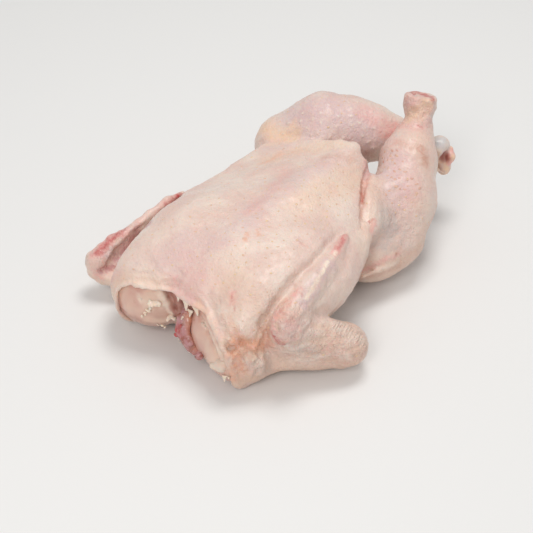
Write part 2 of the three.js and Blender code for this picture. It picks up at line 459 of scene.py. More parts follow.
# The masses of the CAD solid, in the order in which they run together.
MASSES = (torso, breast_ends, neck_stump, apron, tail_and_vent, far_leg, near_leg, near_wing, far_wing)


def drawn_far_leg(bird):
    """The far leg with a shin that tapers more than the solid's, clear of the tail under it."""
    upper = [(-69, 99, 47), (-46, 116, 59), (-33, 127.5, 60)]
    lower = [(-20.5, 137, 59), (-8.5, 146, 55), (6, 147, 49)]
    bird.add(limb(upper + lower, [23.5, 28.6, 24, 19.5, 15, 12], 7), 2.5)
    far_ankle_and_thigh(bird)


def slim_far_wing(bird):
    """The far wing with its hand drawn out thinner than the solid's, and its thumb apart."""
    beside_breast = [(-73, -70, 53), (-72.5, -82, 44), (-75, -90, 36)]
    bird.cut(limb(beside_breast, [4, 6.5, 4.5], 5), 4)
    arm = limb([(-48, -66, 20), (-80, -40, 16)], [16.5, 12])
    forearm = limb([(-80, -38, 16), (-92, -64, 18)], [11.5, 8.5])
    palm = [(-97.5, -68, 25.5), (-93, -49, 34.7), (-91, -35, 39.5)]
    tip = [(-90, -24, 42.7), (-88, -9, 47), (-88, 7, 45.8)]
    hand = limb(palm + tip, [9.0, 5.4, 4.0, 3.3, 2.8, 1.7], 3)
    under_hand = web([(-95, -60, 22), (-91, -20, 38), (-84, -38, 12)], 3.5)
    inner_skin = web([(-90, -58, 10), (-87, -12, 28), (-62, -26, 14)], 4.5)
    bird.add(joined([arm, forearm, hand, under_hand, inner_skin], 3), 1.5)
    thumb = [(-98, -65, 31), (-98, -54, 35.3), (-96, -44, 38.5)]
    bird.add(limb(thumb, [4.5, 3.4, 1.6], 2), 1.5)
    hollow = [(-84, -20, 46), (-85, -40, 37.5), (-87, -56, 31), (-88, -66, 26)]
    bird.cut(limb(hollow, [2, 4, 5, 4], 4), 2)
    slit = [(-92.5, -76, 24.5), (-89, -71, 23.5), (-85, -65, 23), (-79, -62, 24)]
    bird.cut(limb(slit, [1.0, 2.0, 3.2, 4], 3), 1)
    lip = [(-97, -71, 20), (-92, -69.5, 17), (-84, -66, 15)]
    bird.add(limb(lip, [6.5, 5.5, 5.5], 3), 1.0)


def beside_marks(marks, radius, rise, joint_blend):
    """A limb under marks on the plain surface, which rises over the surface by so much."""
    places, normals = PLAIN.places(marks)
    return limb(places - (radius - rise) * normals, [radius] * len(places), joint_blend)


def slim_near_wing(bird):
    """The near wing, laid over the breast with a sharp fold along the side that faces the keel."""
    bird.add(limb([(44, -52, 20), (74, -24, 16)], [17, 14]), 5)
    places, normals = PLAIN.places(WING_VALLEY)
    lifts = np.linspace(*WING_VALLEY_LIFTS, len(places))
    depths = np.linspace(*WING_VALLEY_DEPTHS, len(places))
    bird.cut(limb(places + lifts[:, None] * normals, lifts + depths, 4), 3)
    forearm = limb([(78, -22, 19), (55, -51, 37)], [14.8, 14.2])
    skin = web([(54, -54, 36), (79, -23, 19), (48, -56, 16)], 8.5)
    bird.add(joined([forearm, skin], 5), 2.0)
    places, normals = PLAIN.places(HAND)
    hand = limb(places - np.subtract(HAND_RADII, HAND_LIFTS)[:, None] * normals, HAND_RADII, 4)
    beside = beside_marks(HAND_SKIN, 16, 2.4, 6)
    loose, _ = PLAIN.places(HAND_LOOSE)
    bird.lay(joined([hand, beside], 5), 1.0, 11, loose, 14)


def straight_near_leg(bird):
    """The near leg with a straighter shin than the solid's, and its skin laid over the flank."""
    places, normals = PLAIN.places(THIGH_HOLLOW)
    bird.cut(limb(places + THIGH_HOLLOW_LIFT * normals, THIGH_HOLLOW_RADII, 7), 1.5)
    bones = [(44, 80, 29), (35, 98, 45), (22, 124, 62), (16.5, 137, 71.5), (15, 142, 77)]
    shin = limb(bones, [20.5, 23, 19, 12.5, 8.2], 7)
    knuckle = limb([(15, 143, 80.5), (11, 149, 88)], [7.4, 12.2])
    thigh = ellipsoid((36, 66, 25), (25, 31, 23), (0, 0, -10))
    bird.add(joined([thigh, shin, knuckle], 6), 1.5)
    places, normals = PLAIN.places(LEG_SKIN)
    thick = np.array(LEG_SKIN_RADII, float)
    ridge = limb(places - (LEG_SKIN_SUNK * thick)[:, None] * normals, thick, 7)
    beside = beside_marks(LEG_BESIDE, 14, 1, 7)
    loose, _ = PLAIN.places(LEG_LOOSE)
    bird.lay(joined([ridge, beside], 7), 1.0, 12, loose, 15)


APRON_EDGE = (
    (-69, 82, 52.3),
    (-53, 83, 60.7),
    (-30.5, 85, 70.7),
    (-12, 86.5, 76.9),
    (-2.2, 89.6, 77.7),
    (-2, 89.5, 71),
    (-0.6, 90.5, 62),
    (2.7, 90, 53),
    (7.6, 84, 45.6),
)
APRON_EDGE_RADIUS = 3.5
BESIDE_APRON_RADIUS = 5.5
BESIDE_APRON = ((14.2, 90, 92), (2.2, 105, 77), (0.6, 103.4, 68), (12.6, 88.8, 83))


def fuller_forms(bird):
    """The breast's far side, the apron's edge and the flank, filled out to the skin."""
    bird.add(ellipsoid((-46, -28, 42), (31, 46, 28), (0, -10, -5)), 10)
    bird.add(limb(APRON_EDGE, [APRON_EDGE_RADIUS] * len(APRON_EDGE), 3), 6)
    bird.cut(limb(BESIDE_APRON, [BESIDE_APRON_RADIUS] * len(BESIDE_APRON), 3), 3)
    bird.add(beside_marks(FLANK_FILL, 7.5, 2, 5), 6)
    bird.cut(ellipsoid(*UNDER_ELBOW), 4)


def built(masses, cell):
    """A field of the masses, sampled on a cell."""
    bird = Field(cell)
    for mass in masses:
        mass(bird)
    return bird


def keel_offset():
    """Where the middle of the back lies in the frame, found from the CAD box of the same masses."""
    coarse = built(MASSES, CAD_CELL)
    coarse.rest_on_ground()
    coarse.close()
    vertices, _ = surface(coarse)
    middle = (vertices.min(0) + vertices.max(0)) / 2
    cad_middle = (np.array(CAD_LOW) + np.array(CAD_HIGH)) / 2 / MM
    return np.array([cad_middle[0] - middle[0], cad_middle[1] - middle[1], 0])


OFFSET = keel_offset()


# ---------------------------------------------------------------- places sighted on the bird


class Sight:
    """The view that the marks are placed from, and the rays through its pixels."""

    def __init__(self):
        azimuth, elevation = math.radians(VIEW_AZIMUTH), math.radians(VIEW_ELEVATION)
        level = math.cos(elevation)
        self.right = np.array([math.cos(azimuth), math.sin(azimuth), 0])
        self.back = np.array([math.sin(azimuth) * level, -math.cos(azimuth) * level, math.sin(elevation)])
        self.up = np.cross(self.back, self.right)
        self.eye = np.array(VIEW_AIM) + VIEW_DISTANCE * self.back

    def ray(self, pixel):
        across = (pixel[0] - VIEW_CENTRE[0]) / VIEW_FOCAL_PIXELS
        down = (pixel[1] - VIEW_CENTRE[1]) / VIEW_FOCAL_PIXELS
        direction = -self.back + across * self.right - down * self.up
        return direction / np.linalg.norm(direction)


class Sighted:
    """A surface, on which marks find their places."""

    def __init__(self, vertices, quads):
        self.tree = BVHTree.FromPolygons(vertices.tolist(), quads.tolist())

    def place(self, mark):
        """Place and normal of a mark: a pixel pair is sighted, a triple is a place already."""
        if len(mark) == 3:
            place, normal, _, _ = self.tree.find_nearest(Vector(mark))
            return np.array(place), np.array(normal)
        ray = SIGHT.ray(mark)
        place, normal, _, _ = self.tree.ray_cast(Vector(SIGHT.eye), Vector(ray))
        if place is None:
            trials = [SIGHT.eye + ray * reach for reach in np.arange(*SIGHT_TRIALS)]
            nearest = [self.tree.find_nearest(Vector(trial)) for trial in trials]
            place, normal, _, _ = min(nearest, key=lambda found: found[3])
        return np.array(place), np.array(normal)

    def places(self, marks):
        found = [self.place(mark) for mark in marks]
        return np.array([place for place, _ in found]), np.array([normal for _, normal in found])


def sighted(masses):
    """A coarse surface of the masses, to sight marks on."""
    bird = built(masses, SIGHT_CELL)
    bird.rest_on_ground()
    return Sighted(*smooth_surface(bird))


SIGHT = Sight()
PLAIN = sighted(MASSES)


# ---------------------------------------------------------------- folds and creases

# Folds stand up and grooves are cut: marks, radius, lift off the surface and blend, in millimetres.
FAR_BREAST_RIM = (
    (112, 301), (112.5, 291), (118, 284), (128, 280.5), (140, 279.5), (152, 280.5), (164, 284.5),
)
BESIDE_APRON_LINE = ((368.5, 166), (367, 175), (364.5, 184), (363, 194), (362, 205), (362, 217), (361, 230))
FOLDS = (
    (((332, 259), (322, 273), (310, 294)), 0.9, 2.4, 1.2),
    (((403, 257), (392, 264), (378, 270), (362, 276)), 1.5, 0.3, 1.6),
    (FAR_BREAST_RIM, 0.8, 0.2, 0.9),
    (((111, 289), (115, 280.5), (124, 276.5), (136, 274.5), (148, 276), (158, 279)), 0.7, 0.1, 0.9),
)
GROOVES = ((BESIDE_APRON_LINE, 1.8, -0.4, 2.0),)
GROOVE_END = 0.4  # share of a groove's radius that is left at its end
FLANK_FILL = ((366, 238), (361, 252), (356, 266), (349, 281), (340, 296), (330, 306))
UNDER_ELBOW = ((78, -30, -2), (28, 32, 8.5), (0, 0, 20))
LEG_SKIN = ((372, 182), (371, 194), (372, 205), (374, 216), (371, 227), (365, 238), (359, 248))
LEG_SKIN_RADII = (6, 6, 6, 5.5, 4.5, 3.6, 3)
LEG_SKIN_SUNK = 0.66  # share of the radius that lies under the plain surface
LEG_BESIDE = ((380, 188), (383, 203), (383, 216), (379, 223))
LEG_LOOSE = ((386, 180), (391, 205), (387, 224))
THIGH_HOLLOW = ((386, 229), (379, 238), (374, 248), (371, 258), (368, 268), (365, 278), (362, 288))
THIGH_HOLLOW_RADII = (4.5, 6.8, 8, 8, 8, 8, 8)
THIGH_HOLLOW_LIFT = 3
WING_VALLEY = (
    (341, 234), (330, 247), (319, 261), (308, 272), (297, 283), (288, 296), (278, 309), (269, 325),
    (270, 340), (275, 352), (277, 363),
)
WING_VALLEY_LIFTS = (2.2, 2.0)
WING_VALLEY_DEPTHS = (1.3, 6.0)
# The near wing's hand, from its tip to the wrist: marks, radii, and heights over the plain surface.
HAND = ((346, 236), (337, 251), (328, 267), (317, 279), (307, 291), (293, 310), (284.5, 325), (285.5, 338))
HAND_RADII = (2.4, 3.5, 5.0, 6.2, 7.5, 9, 9, 8.5)
HAND_LIFTS = (2.3, 2.8, 2.8, 2.2, 2.4, 2.6, 2.8, 2.2)
HAND_SKIN = ((350, 256), (341, 274), (328, 293))
HAND_LOOSE = ((357, 251), (352, 262), (343, 282), (330, 300), (318, 316), (307, 331), (301, 346))


def folds_and_grooves(bird):
    for marks, radius, lift, blend in FOLDS:
        places, normals = PLAIN.places(marks)
        bird.add(limb(places + lift * normals, [radius] * len(places), radius), blend)
    for marks, radius, lift, blend in GROOVES:
        places, normals = PLAIN.places(marks)
        radii = np.linspace(radius, GROOVE_END * radius, len(places))
        bird.cut(limb(places + lift * normals, radii, radius), blend)


ANKLE_END = (10.5, 150.5, 95.5)
ANKLE_WAY = (-0.1, 0.35, 0.93)
ANKLE_REACH = 22
ANKLE_RAGS = ((0.9, 5.0, 32),)  # height, pitch and seed of the noise along the cut
ANKLE_LIP = 1.2
SHANK_END = (18.5, 152.0, 51.0)
SHANK_WAY = (0.95, 0.3, 0.05)
SHANK_REACH = 22
SHANK_RAGS = ((0.8, 5.0, 31),)
SHANK_CUFF = 1.3


def ankle_end(bird):
    """Cuts the near leg's knuckle flat, and gives the cut end a raised edge."""
    end, way = np.array(ANKLE_END), np.array(ANKLE_WAY) / np.linalg.norm(ANKLE_WAY)
    where, points = bird.block(end - ANKLE_REACH - 8, end + ANKLE_REACH + 8)
    whole = bird.value[where].astype(float)
    beyond = (points - end) @ way + layered(points, ANKLE_RAGS)
    reach = length_of(points - end) - ANKLE_REACH
    flat = np.where(reach > 0, whole, -blend_min(-whole, -beyond, 2.5))
    lip = np.sqrt(whole**2 + beyond**2) - ANKLE_LIP
    bird.value[where] = blend_min(flat, np.maximum(lip, reach), 2.0).astype(np.float32)


def trim_far_shank(bird):
    """Ends the skin of the far leg in a rolled cuff, short of its joint."""
    end, way = np.array(SHANK_END), np.array(SHANK_WAY) / np.linalg.norm(SHANK_WAY)
    where, points = bird.block(end - SHANK_REACH - 2, end + SHANK_REACH + 12)
    whole = bird.value[where].astype(float)
    beyond = (end - points) @ way + layered(points, SHANK_RAGS)
    reach = length_of(points - end) - SHANK_REACH
    skin = -blend_min(-whole, np.maximum(beyond, reach), 0.8)
    cuff = np.sqrt(whole**2 + beyond**2) - SHANK_CUFF
    bird.value[where] = blend_min(skin, np.maximum(cuff, reach), 1.5).astype(np.float32)


# ---------------------------------------------------------------- the open front

OPENING = {"middle": -5.5, "half": 47.5, "top": 50.0, "far radius": 14.0, "near radius": 28.0}
OPENING_RAGS = ((1.1, 7.0, 11), (0.5, 3.0, 12))  # height, pitch and seed
OPENING_BACK = -64.0
FRONT_LOW = (-95.0, -112.0, -SINK)
FRONT_HIGH = (65.0, -60.0, 92.0)
CUT_BLEND = 0.8
RIM_BLEND = 1.2
RIM_RUN = 4  # how far the rim goes on past the back of the opening
RIM_WAVE = ((0.3, 9.0, 13),)
RIM_FOLD_WAVE = ((0.6, 12.0, 14),)
RIM_FOLD_LIFT = 0.4
RIM_FOLDS = ((2.6, 1.3), (5.6, 1.3), (9.0, 1.0))  # how far from the rim, and how deep


def opening(points):
    """Distance outside the opening that the neck skin leaves, negative within it."""
    x, z = points[..., 0], points[..., 2]
    radius = np.where(x < OPENING["middle"], OPENING["far radius"], OPENING["near radius"])
    across = np.abs(x - OPENING["middle"]) - OPENING["half"] + radius
    over = z - OPENING["top"] + radius
    outside = np.hypot(np.maximum(across, 0), np.maximum(over, 0))
    inside = np.minimum(np.maximum(across, over), 0)
    return outside + inside - radius + layered(points, OPENING_RAGS)


def open_front(bird, rim):
    """Cuts the skin at the opening, rolls its rim, and folds the skin along the rim's far side."""
    where, points = bird.block(np.array(FRONT_LOW), np.array(FRONT_HIGH))
    x, y = points[..., 0], points[..., 1]
    whole = bird.value[where].astype(float)
    mouth = np.maximum(opening(points), y - OPENING_BACK)
    skin = -blend_min(-whole, mouth, CUT_BLEND)
    behind = np.maximum(y - OPENING_BACK - RIM_RUN, 0)
    wave = 1 + layered(points, RIM_WAVE)
    near_side = eased((x - 2) / 14)
    thick_rim = rim * wave * (1 + 0.5 * near_side)
    skin = blend_min(skin, np.sqrt(whole**2 + mouth**2) - thick_rim + behind, RIM_BLEND)
    far_side = eased((-x - 4) / 12)
    for gap, thick in RIM_FOLDS:
        depth = thick * far_side * (1 + layered(points, RIM_FOLD_WAVE))
        groove = np.sqrt((whole - RIM_FOLD_LIFT) ** 2 + (mouth - gap * wave) ** 2) - depth
        skin = -blend_min(-skin, groove + behind + 2 * (1 - far_side), RIM_BLEND)
    bird.value[where] = skin.astype(np.float32)


# ---------------------------------------------------------------- pieces


def settings():
    return bpy.context.scene.chicken


def mesh_of(name, vertices, faces):
    """A mesh of faces that all have the same number of corners."""
    mesh = bpy.data.meshes.new(name)
    count, corners = faces.shape
    mesh.vertices.add(len(vertices))
    mesh.vertices.foreach_set("co", vertices.astype(np.float32).ravel())
    mesh.loops.add(count * corners)
    mesh.loops.foreach_set("vertex_index", faces.astype(np.int32).ravel())
    mesh.polygons.add(count)
    mesh.polygons.foreach_set("loop_start", np.arange(0, count * corners, corners, dtype=np.int32))
    mesh.update(calc_edges=True)
    mesh.validate()
    return mesh


def thinned(vertices, faces, most):
    """The surface with its flatter places drawn with fewer triangles, and no more than the most."""
    mesh = mesh_of("fine", vertices, faces)
    carrier = bpy.data.objects.new("fine", mesh)
    bpy.context.scene.collection.objects.link(carrier)
    collapse = carrier.modifiers.new("collapse", "DECIMATE")
    collapse.ratio = min(1.0, most / (2 * len(faces)))
    view = bpy.context.evaluated_depsgraph_get()
    fewer = carrier.evaluated_get(view).to_mesh()
    fewer.calc_loop_triangles()
    places = np.empty(len(fewer.vertices) * 3, np.float32)
    fewer.vertices.foreach_get("co", places)
    triangles = np.empty(len(fewer.loop_triangles) * 3, np.int32)
    fewer.loop_triangles.foreach_get("vertices", triangles)
    carrier.evaluated_get(view).to_mesh_clear()
    carrier.modifiers.clear()
    bpy.data.objects.remove(carrier)
    bpy.data.meshes.remove(mesh)
    return places.reshape(-1, 3).astype(float), triangles.reshape(-1, 3)


def piece_from(name, vertices, faces, finish, shares=None):
    """A smooth piece of the bird that rides on it, with its places moved into the frame."""
    resting = vertices.copy()
    resting[:, 2] = np.maximum(resting[:, 2], 0)
    mesh = mesh_of(name, (resting + OFFSET) * MM, faces)
    for share, values in (shares or {}).items():
        layer = mesh.attributes.new(share, "FLOAT", "POINT")
        layer.data.foreach_set("value", np.asarray(values, np.float32))
    mesh.materials.append(finish)
    mesh.shade_smooth()
    return placed(name, mesh)


def placed(name, mesh):
    piece = bpy.data.objects.new(name, mesh)
    bpy.context.scene.collection.objects.link(piece)
    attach(piece, "root")
    return piece


# A dab of colour is named by its kind, marks, reach in millimetres and strength.
DABS = (
    ("blush", ((193, 276),), 24, 0.4),
    ("blush", ((176, 284), (188, 292), (199, 301)), 9, 0.5),
    ("blush", ((206, 312), (220, 335)), 7, 0.25),
    ("blush", ((297, 292), (284, 306), (275, 320), (274, 332)), 5, 0.75),
    ("blush", ((284, 318), (292, 330)), 10, 0.3),
    ("blush", ((94, 254), (104, 242), (122, 231)), 8, 0.85),
    ("blush", ((130, 232), (152, 212), (174, 197)), 6, 0.35),
    ("blush", ((92, 262), (104, 268), (118, 276)), 9, 0.35),
    ("blush", ((412, 104), (420, 112), (428, 108)), 11, 0.5),
    ("blush", ((403, 124), (415, 128)), 7, 0.4),
    ("blush", ((388, 132), (396, 128), (402, 124)), 8, 0.75),
    ("blush", ((365, 112), (382, 124)), 12, 0.45),
    ("blush", ((399, 254), (387, 259), (374, 265), (363, 271)), 3, 0.6),
    ("blush", ((375, 220), (371, 232)), 3, 0.8),
    ("blush", ((250, 212), (272, 190), (288, 172)), 8, 0.35),
    ("blush", ((240, 340), (250, 344), (262, 346)), 9, 0.6),
    ("blush", ((232, 293), (233, 302)), 4, 0.6),
    ("blush", ((345, 236), (338, 248), (334, 254)), 4, 1.0),
    # Painted highlight: white glints on the near wing's tip.
    ("white", ((341, 240), (337, 247), (334, 252)), 1.1, 0.6),
    ("blush", ((366, 163), (366, 178), (364, 195)), 5, 0.6),
    ("blush", ((270, 141), (285, 139)), 4, 0.4),
    ("blush", ((436, 218), (432, 236)), 7, 0.35),
    ("blush", ((395, 150), (405, 170), (410, 190)), 18, 0.2),
    ("tan", ((418, 140), (422, 170), (420, 200)), 16, 0.25),
    ("red", ((183, 193), (178, 197)), 3.5, 1.0),
    ("red", ((345, 235), (341, 243), (337, 249)), 2.8, 0.5),
    ("red", ((411, 94), (418, 93), (425, 96)), 4, 0.6),
    ("red", ((101, 249), (97, 254)), 3, 0.4),
    ("red", ((124, 229), (120, 233)), 2.5, 0.6),
    ("red", ((273, 333), (277, 341), (284, 345)), 2.4, 0.8),
    ("red", ((280, 324),), 1.1, 0.9),
    ("red", ((232, 294), (232, 302)), 0.9, 0.5),
    ("red", ((235, 308), (234, 312)), 0.9, 0.5),
    ("red", ((293, 236), (306, 247), (320, 260)), 0.7, 0.3),
    ("red", ((300, 292), (303, 296)), 1.2, 0.4),
    ("red", ((412, 140), (416, 141)), 1.0, 0.6),
    ("red", ((418, 126), (422, 128)), 1.0, 0.6),
    ("lilac", ((190, 262), (230, 235), (262, 205), (300, 175), (335, 160)), 15, 0.3),
    ("lilac", ((200, 262), (185, 255)), 26, 0.35),
    ("lilac", ((300, 118), (330, 112), (362, 124)), 32, 0.6),
    ("lilac", ((395, 165), (405, 185)), 24, 0.55),
    ("lilac", ((330, 262), (318, 280), (303, 302)), 7, 0.55),
    ("lilac", ((290, 320), (302, 330)), 12, 0.35),
    ("lilac", ((108, 256), (128, 238)), 9, 0.5),
    ("grey", ((386, 220), (394, 230)), 16, 0.5),
    ("grey", ((409, 102), (410, 110)), 4, 0.6),
    ("grey", ((292, 347), (304, 352), (314, 352)), 6, 0.4),
    ("grey", ((258, 364), (268, 370)), 10, 0.3),
    ("brown", ((420, 149), (424, 156), (426, 163)), 6, 0.6),
    ("brown", ((397, 143), (410, 147)), 6, 0.35),
    ("brown", ((397, 254),), 2.0, 0.8),
    # Painted shade: brown down the crease beside the apron.
    ("brown", ((363, 182), (362, 192), (361.5, 203)), 3.0, 1.0),
    ("brown", ((361.5, 203), (361.5, 220)), 2.2, 0.6),
    ("brown", ((325, 157), (350, 158), (370, 156)), 6, 0.35),
    ("orange", ((236, 345), (248, 349), (262, 344)), 9, 0.95),
    ("orange", ((236, 354), (239, 368)), 8, 0.8),
    ("orange", ((230, 372), (234, 378)), 5, 0.6),
    ("orange", ((226, 318), (234, 332)), 6, 0.35),
    ("orange", ((268, 330), (270, 345)), 6, 0.5),
    ("orange", ((247, 233), (245, 240)), 2.2, 0.6),
    ("orange", ((257, 230), (259, 236)), 1.8, 0.5),
    ("orange", ((262, 164), (272, 160), (280, 154)), 4, 0.35),
    ("orange", ((287, 302), (284, 316), (296, 312)), 7, 0.35),
    ("white", ((250, 358), (262, 362)), 8, 0.4),
    # Painted shade: dark mauve in the far wing's hollow and slit, and on the shaded flap beside the apron.
    ("mauve_fold_shade", ((147, 225), (138, 235), (129, 245), (121, 255), (115, 262)), 6, 1.0),
    ("mauve_fold_shade", ((101, 270), (108, 269), (114, 267)), 4, 1.0),
    ("mauve_fold_shade", ((366, 164), (369, 170), (366, 178)), 4, 0.5),
    ("red", ((99, 253), (108, 243), (119, 234)), 4.5, 0.7),
    ("red", ((180, 195), (173, 200), (166, 205)), 4, 0.55),
    ("red", ((405, 97), (414, 93), (425, 95), (432, 100)), 3.5, 0.7),
    ("blush", ((404, 121), (418, 128), (430, 121)), 7, 0.35),
    ("fat", ((408, 118), (418, 112), (428, 104)), 8, 0.7),
    ("blush", ((98, 276), (112, 280)), 6, 0.6),
    # Painted shade and warm reflection along the bottom edges: brown along the thigh's lower edge, tan under
    # the near wing and the near shoulder.
    ("brown", ((360, 279), (380, 273), (400, 265)), 4, 0.4),
    ("tan", ((300, 374), (330, 368), (355, 363)), 8, 0.6),
    ("tan", ((232, 378), (262, 376), (285, 372)), 10, 0.8),
    # Painted shade: dark red in the crease beside the apron.
    ("red", ((362.5, 188), (362, 202)), 1.4, 0.5),
    ("red", ((369, 222), (373, 219)), 1.4, 0.7),
    ("grey", ((392, 224), (386, 244)), 12, 0.5),
    ("white", ((420, 225), (425, 205)), 10, 0.25),
    ("fat", ((300, 205), (330, 190), (352, 178)), 17, 0.35),
    ("fat", ((268, 160), (300, 150), (340, 146)), 12, 0.35),
    ("fat", ((262, 128), (278, 134), (292, 136)), 12, 0.7),
    ("fat", ((374, 178), (372, 200), (367, 226), (362, 250)), 8, 0.2),
    ("fat", ((200, 308), (214, 328), (226, 352)), 6, 0.5),
    ("fat", ((240, 345), (250, 352), (258, 345)), 12, 0.9),
    ("fat", ((228, 268),), 24, 0.25),
    ("fat", ((112, 290), (125, 277), (160, 284)), 8, 0.35),
    # Tan over the near wing is partly its warmer skin and partly a painted warm reflection and shade along
    # its bottom.
    ("tan", ((340, 320), (362, 345), (345, 360), (310, 370), (280, 368)), 15, 0.35),
    # Painted warm reflection and shade under the near shoulder.
    ("tan", ((230, 372), (250, 378), (268, 372)), 12, 0.6),
    ("tan", ((222, 350), (236, 368)), 10, 0.4),
    # Painted warm reflection and shade along the thigh's bottom.
    ("tan", ((366, 274), (390, 268), (420, 250), (432, 230)), 14, 0.5),
    ("tan", ((240, 300), (262, 320)), 24, 0.35),
    ("tan", ((300, 335), (325, 340)), 20, 0.15),
    ("white", ((308, 335), (345, 335)), 16, 0.3),
    ("white", ((328, 262), (318, 279), (306, 298)), 2.0, 1.0),
    ("white", ((336, 252), (330, 260)), 1.8, 0.7),
    ("white", ((345, 286), (338, 304)), 2.5, 0.3),
    ("rough", ((285, 320), (310, 345), (350, 345)), 30, 1.0),
    ("rough", ((240, 345), (255, 360)), 24, 0.9),
    ("rough", ((98, 250), (125, 235)), 20, 0.6),
    ("rough", ((405, 105), (428, 110)), 22, 0.7),
    ("rough", ((400, 200), (410, 235)), 34, 0.4),
)
KINDS = ("blush", "red", "lilac", "grey", "brown", "mauve_fold_shade", "orange", "fat", "tan", "white", "rough")


DAB_PITCH = 0.4  # pitch of a dab's ragged edge, as a share of its reach
DAB_LEAST_PITCH = 1.0
DAB_SLOPE = 1.25
DAB_SEED = 40
MEAT_DAB_SEED = 90
ROUGH_SEED = 60
WRINKLE_SEED = 80
WRINKLE_BEND_SEED = 200


def dabbed(vertices, sight, kinds, dabs, seed, rag, feels=1.6):
    """How much of each kind of colour every vertex has, from dabs with ragged edges.

    Noise of the height rag frays an edge, and feels is how many reaches away a dab is worked out.
    """
    shares = {kind: np.zeros(len(vertices)) for kind in kinds}
    for n, (kind, marks, reach, strength) in enumerate(dabs):
        line, _ = sight.places(marks)
        gap = gap_to_line(vertices, line)
        close = gap < reach * feels
        pitch = max(reach * DAB_PITCH, DAB_LEAST_PITCH)
        ragged = 1 + rag * unevenness(vertices[close], pitch, seed + n)
        amount = strength * nearness(gap[close] * ragged, reach, DAB_SLOPE)
        shares[kind][close] = np.maximum(shares[kind][close], amount)
    return shares


def painted(vertices):
    """The shares of the skin's colours."""
    return dabbed(vertices, DRESSED, KINDS, DABS, DAB_SEED, rag=0.45)


SKIN_LUMPS = ((0.6, 16.0, 21), (0.3, 6.0, 22), (0.18, 3.0, 23))  # height, pitch and seed

# Where the skin is rougher: marks, reach, height and pitch, in millimetres.
ROUGH = (
    (((238, 346), (250, 352), (262, 346)), 15, 2.6, 4.4),
    (((240, 348), (246, 364), (256, 368)), 14, 1.5, 2.8),
    (((285, 320), (310, 345), (350, 345)), 26, 0.5, 3.6),
    (((290, 350), (310, 355)), 16, 0.6, 2.6),
    (((98, 250), (125, 235)), 16, 0.7, 4.0),
    (((410, 105), (425, 110)), 18, 1.2, 4.5),
    (((212, 300), (230, 335)), 14, 0.5, 3.4),
    (((400, 200), (410, 235)), 30, 0.5, 6.0),
)

# Wrinkles that run one way: marks, reach, height, pitch and stretch, and the two marks they run between.
WRINKLES = (
    (((298, 346), (325, 342), (352, 345)), 22, 1.0, 2.7, 5, ((358, 334), (306, 350))),
    (((306, 358), (340, 356)), 14, 0.8, 2.6, 5, ((362, 350), (300, 366))),
    (((322, 270), (300, 300), (286, 318)), 12, 0.5, 2.8, 4, ((336, 250), (286, 318))),
    (((276, 330), (282, 345), (292, 350)), 12, 0.7, 2.4, 3, ((276, 330), (300, 345))),
    (((200, 306), (214, 328), (228, 352)), 11, 0.9, 2.8, 6, ((205, 312), (230, 358))),
    (((228, 300), (245, 325), (256, 345)), 20, 0.55, 3.2, 6, ((226, 296), (258, 348))),
    (((268, 300), (268, 325)), 16, 0.4, 3.2, 5, ((262, 292), (270, 330))),
    (((120, 283), (150, 277), (185, 290)), 7, 0.4, 2.6, 5, ((120, 281), (170, 283))),
    (((372, 190), (372, 215), (362, 250)), 9, 0.4, 2.8, 6, ((371, 195), (366, 236))),
    (((400, 215), (415, 240), (385, 250)), 24, 0.3, 2.6, 6, ((385, 240), (425, 214))),
    (((365, 276), (385, 270), (400, 262)), 8, 0.6, 3.0, 6, ((360, 277), (400, 262))),
    (((100, 250), (125, 240), (160, 208)), 9, 0.35, 2.5, 5, ((100, 252), (160, 208))),
    (((330, 290), (345, 265)), 14, 0.3, 3.0, 5, ((334, 302), (352, 262))),
    (((262, 140), (285, 134)), 9, 0.5, 3.0, 5, ((262, 142), (292, 138))),
)
WRINKLE_BEND = 1.5  # how far the wrinkles stray from straight
WRINKLE_BEND_PITCH = 9.0


def wrinkled(vertices):
    """Height of the wrinkles at every vertex."""
    height = np.zeros(len(vertices))
    for n, (marks, reach, tall, pitch, stretch, ends) in enumerate(WRINKLES):
        line, _ = DRESSED.places(marks)
        gap = gap_to_line(vertices, line)
        close = gap < reach
        (start, end), _ = DRESSED.places(ends)
        along = (end - start) / np.linalg.norm(end - start)
        local = vertices[close]
        seeds = range(WRINKLE_BEND_SEED, WRINKLE_BEND_SEED + 3)
        bends = np.stack([unevenness(local, WRINKLE_BEND_PITCH, seed) for seed in seeds], -1)
        local = local + WRINKLE_BEND * bends
        squeezed = local - np.outer(local @ along, along) * (1 - 1 / stretch)
        grain = unevenness(squeezed, pitch, WRINKLE_SEED + n)
        height[close] += nearness(gap[close], reach) * tall * grain
    return height


def uneven(vertices, normals):
    """Vertices moved along their normals by the skin's soft lumps, wrinkles and rougher places."""
    lift = layered(vertices, SKIN_LUMPS) + wrinkled(vertices)
    for n, (marks, reach, height, pitch) in enumerate(ROUGH):
        line, _ = DRESSED.places(marks)
        share = nearness(gap_to_line(vertices, line), reach)
        lift += share * height * unevenness(vertices, pitch, ROUGH_SEED + n)
    return vertices + normals * lift[:, None]


FORMS = (
    torso,
    breast_ends,
    neck_stump,
    apron,
    fuller_forms,
    tail_and_vent,
    drawn_far_leg,
    straight_near_leg,
    slim_near_wing,
    slim_far_wing,
    folds_and_grooves,
    ankle_end,
)
DRESSED = sighted(FORMS)
SKIN_TRIANGLES = 190000


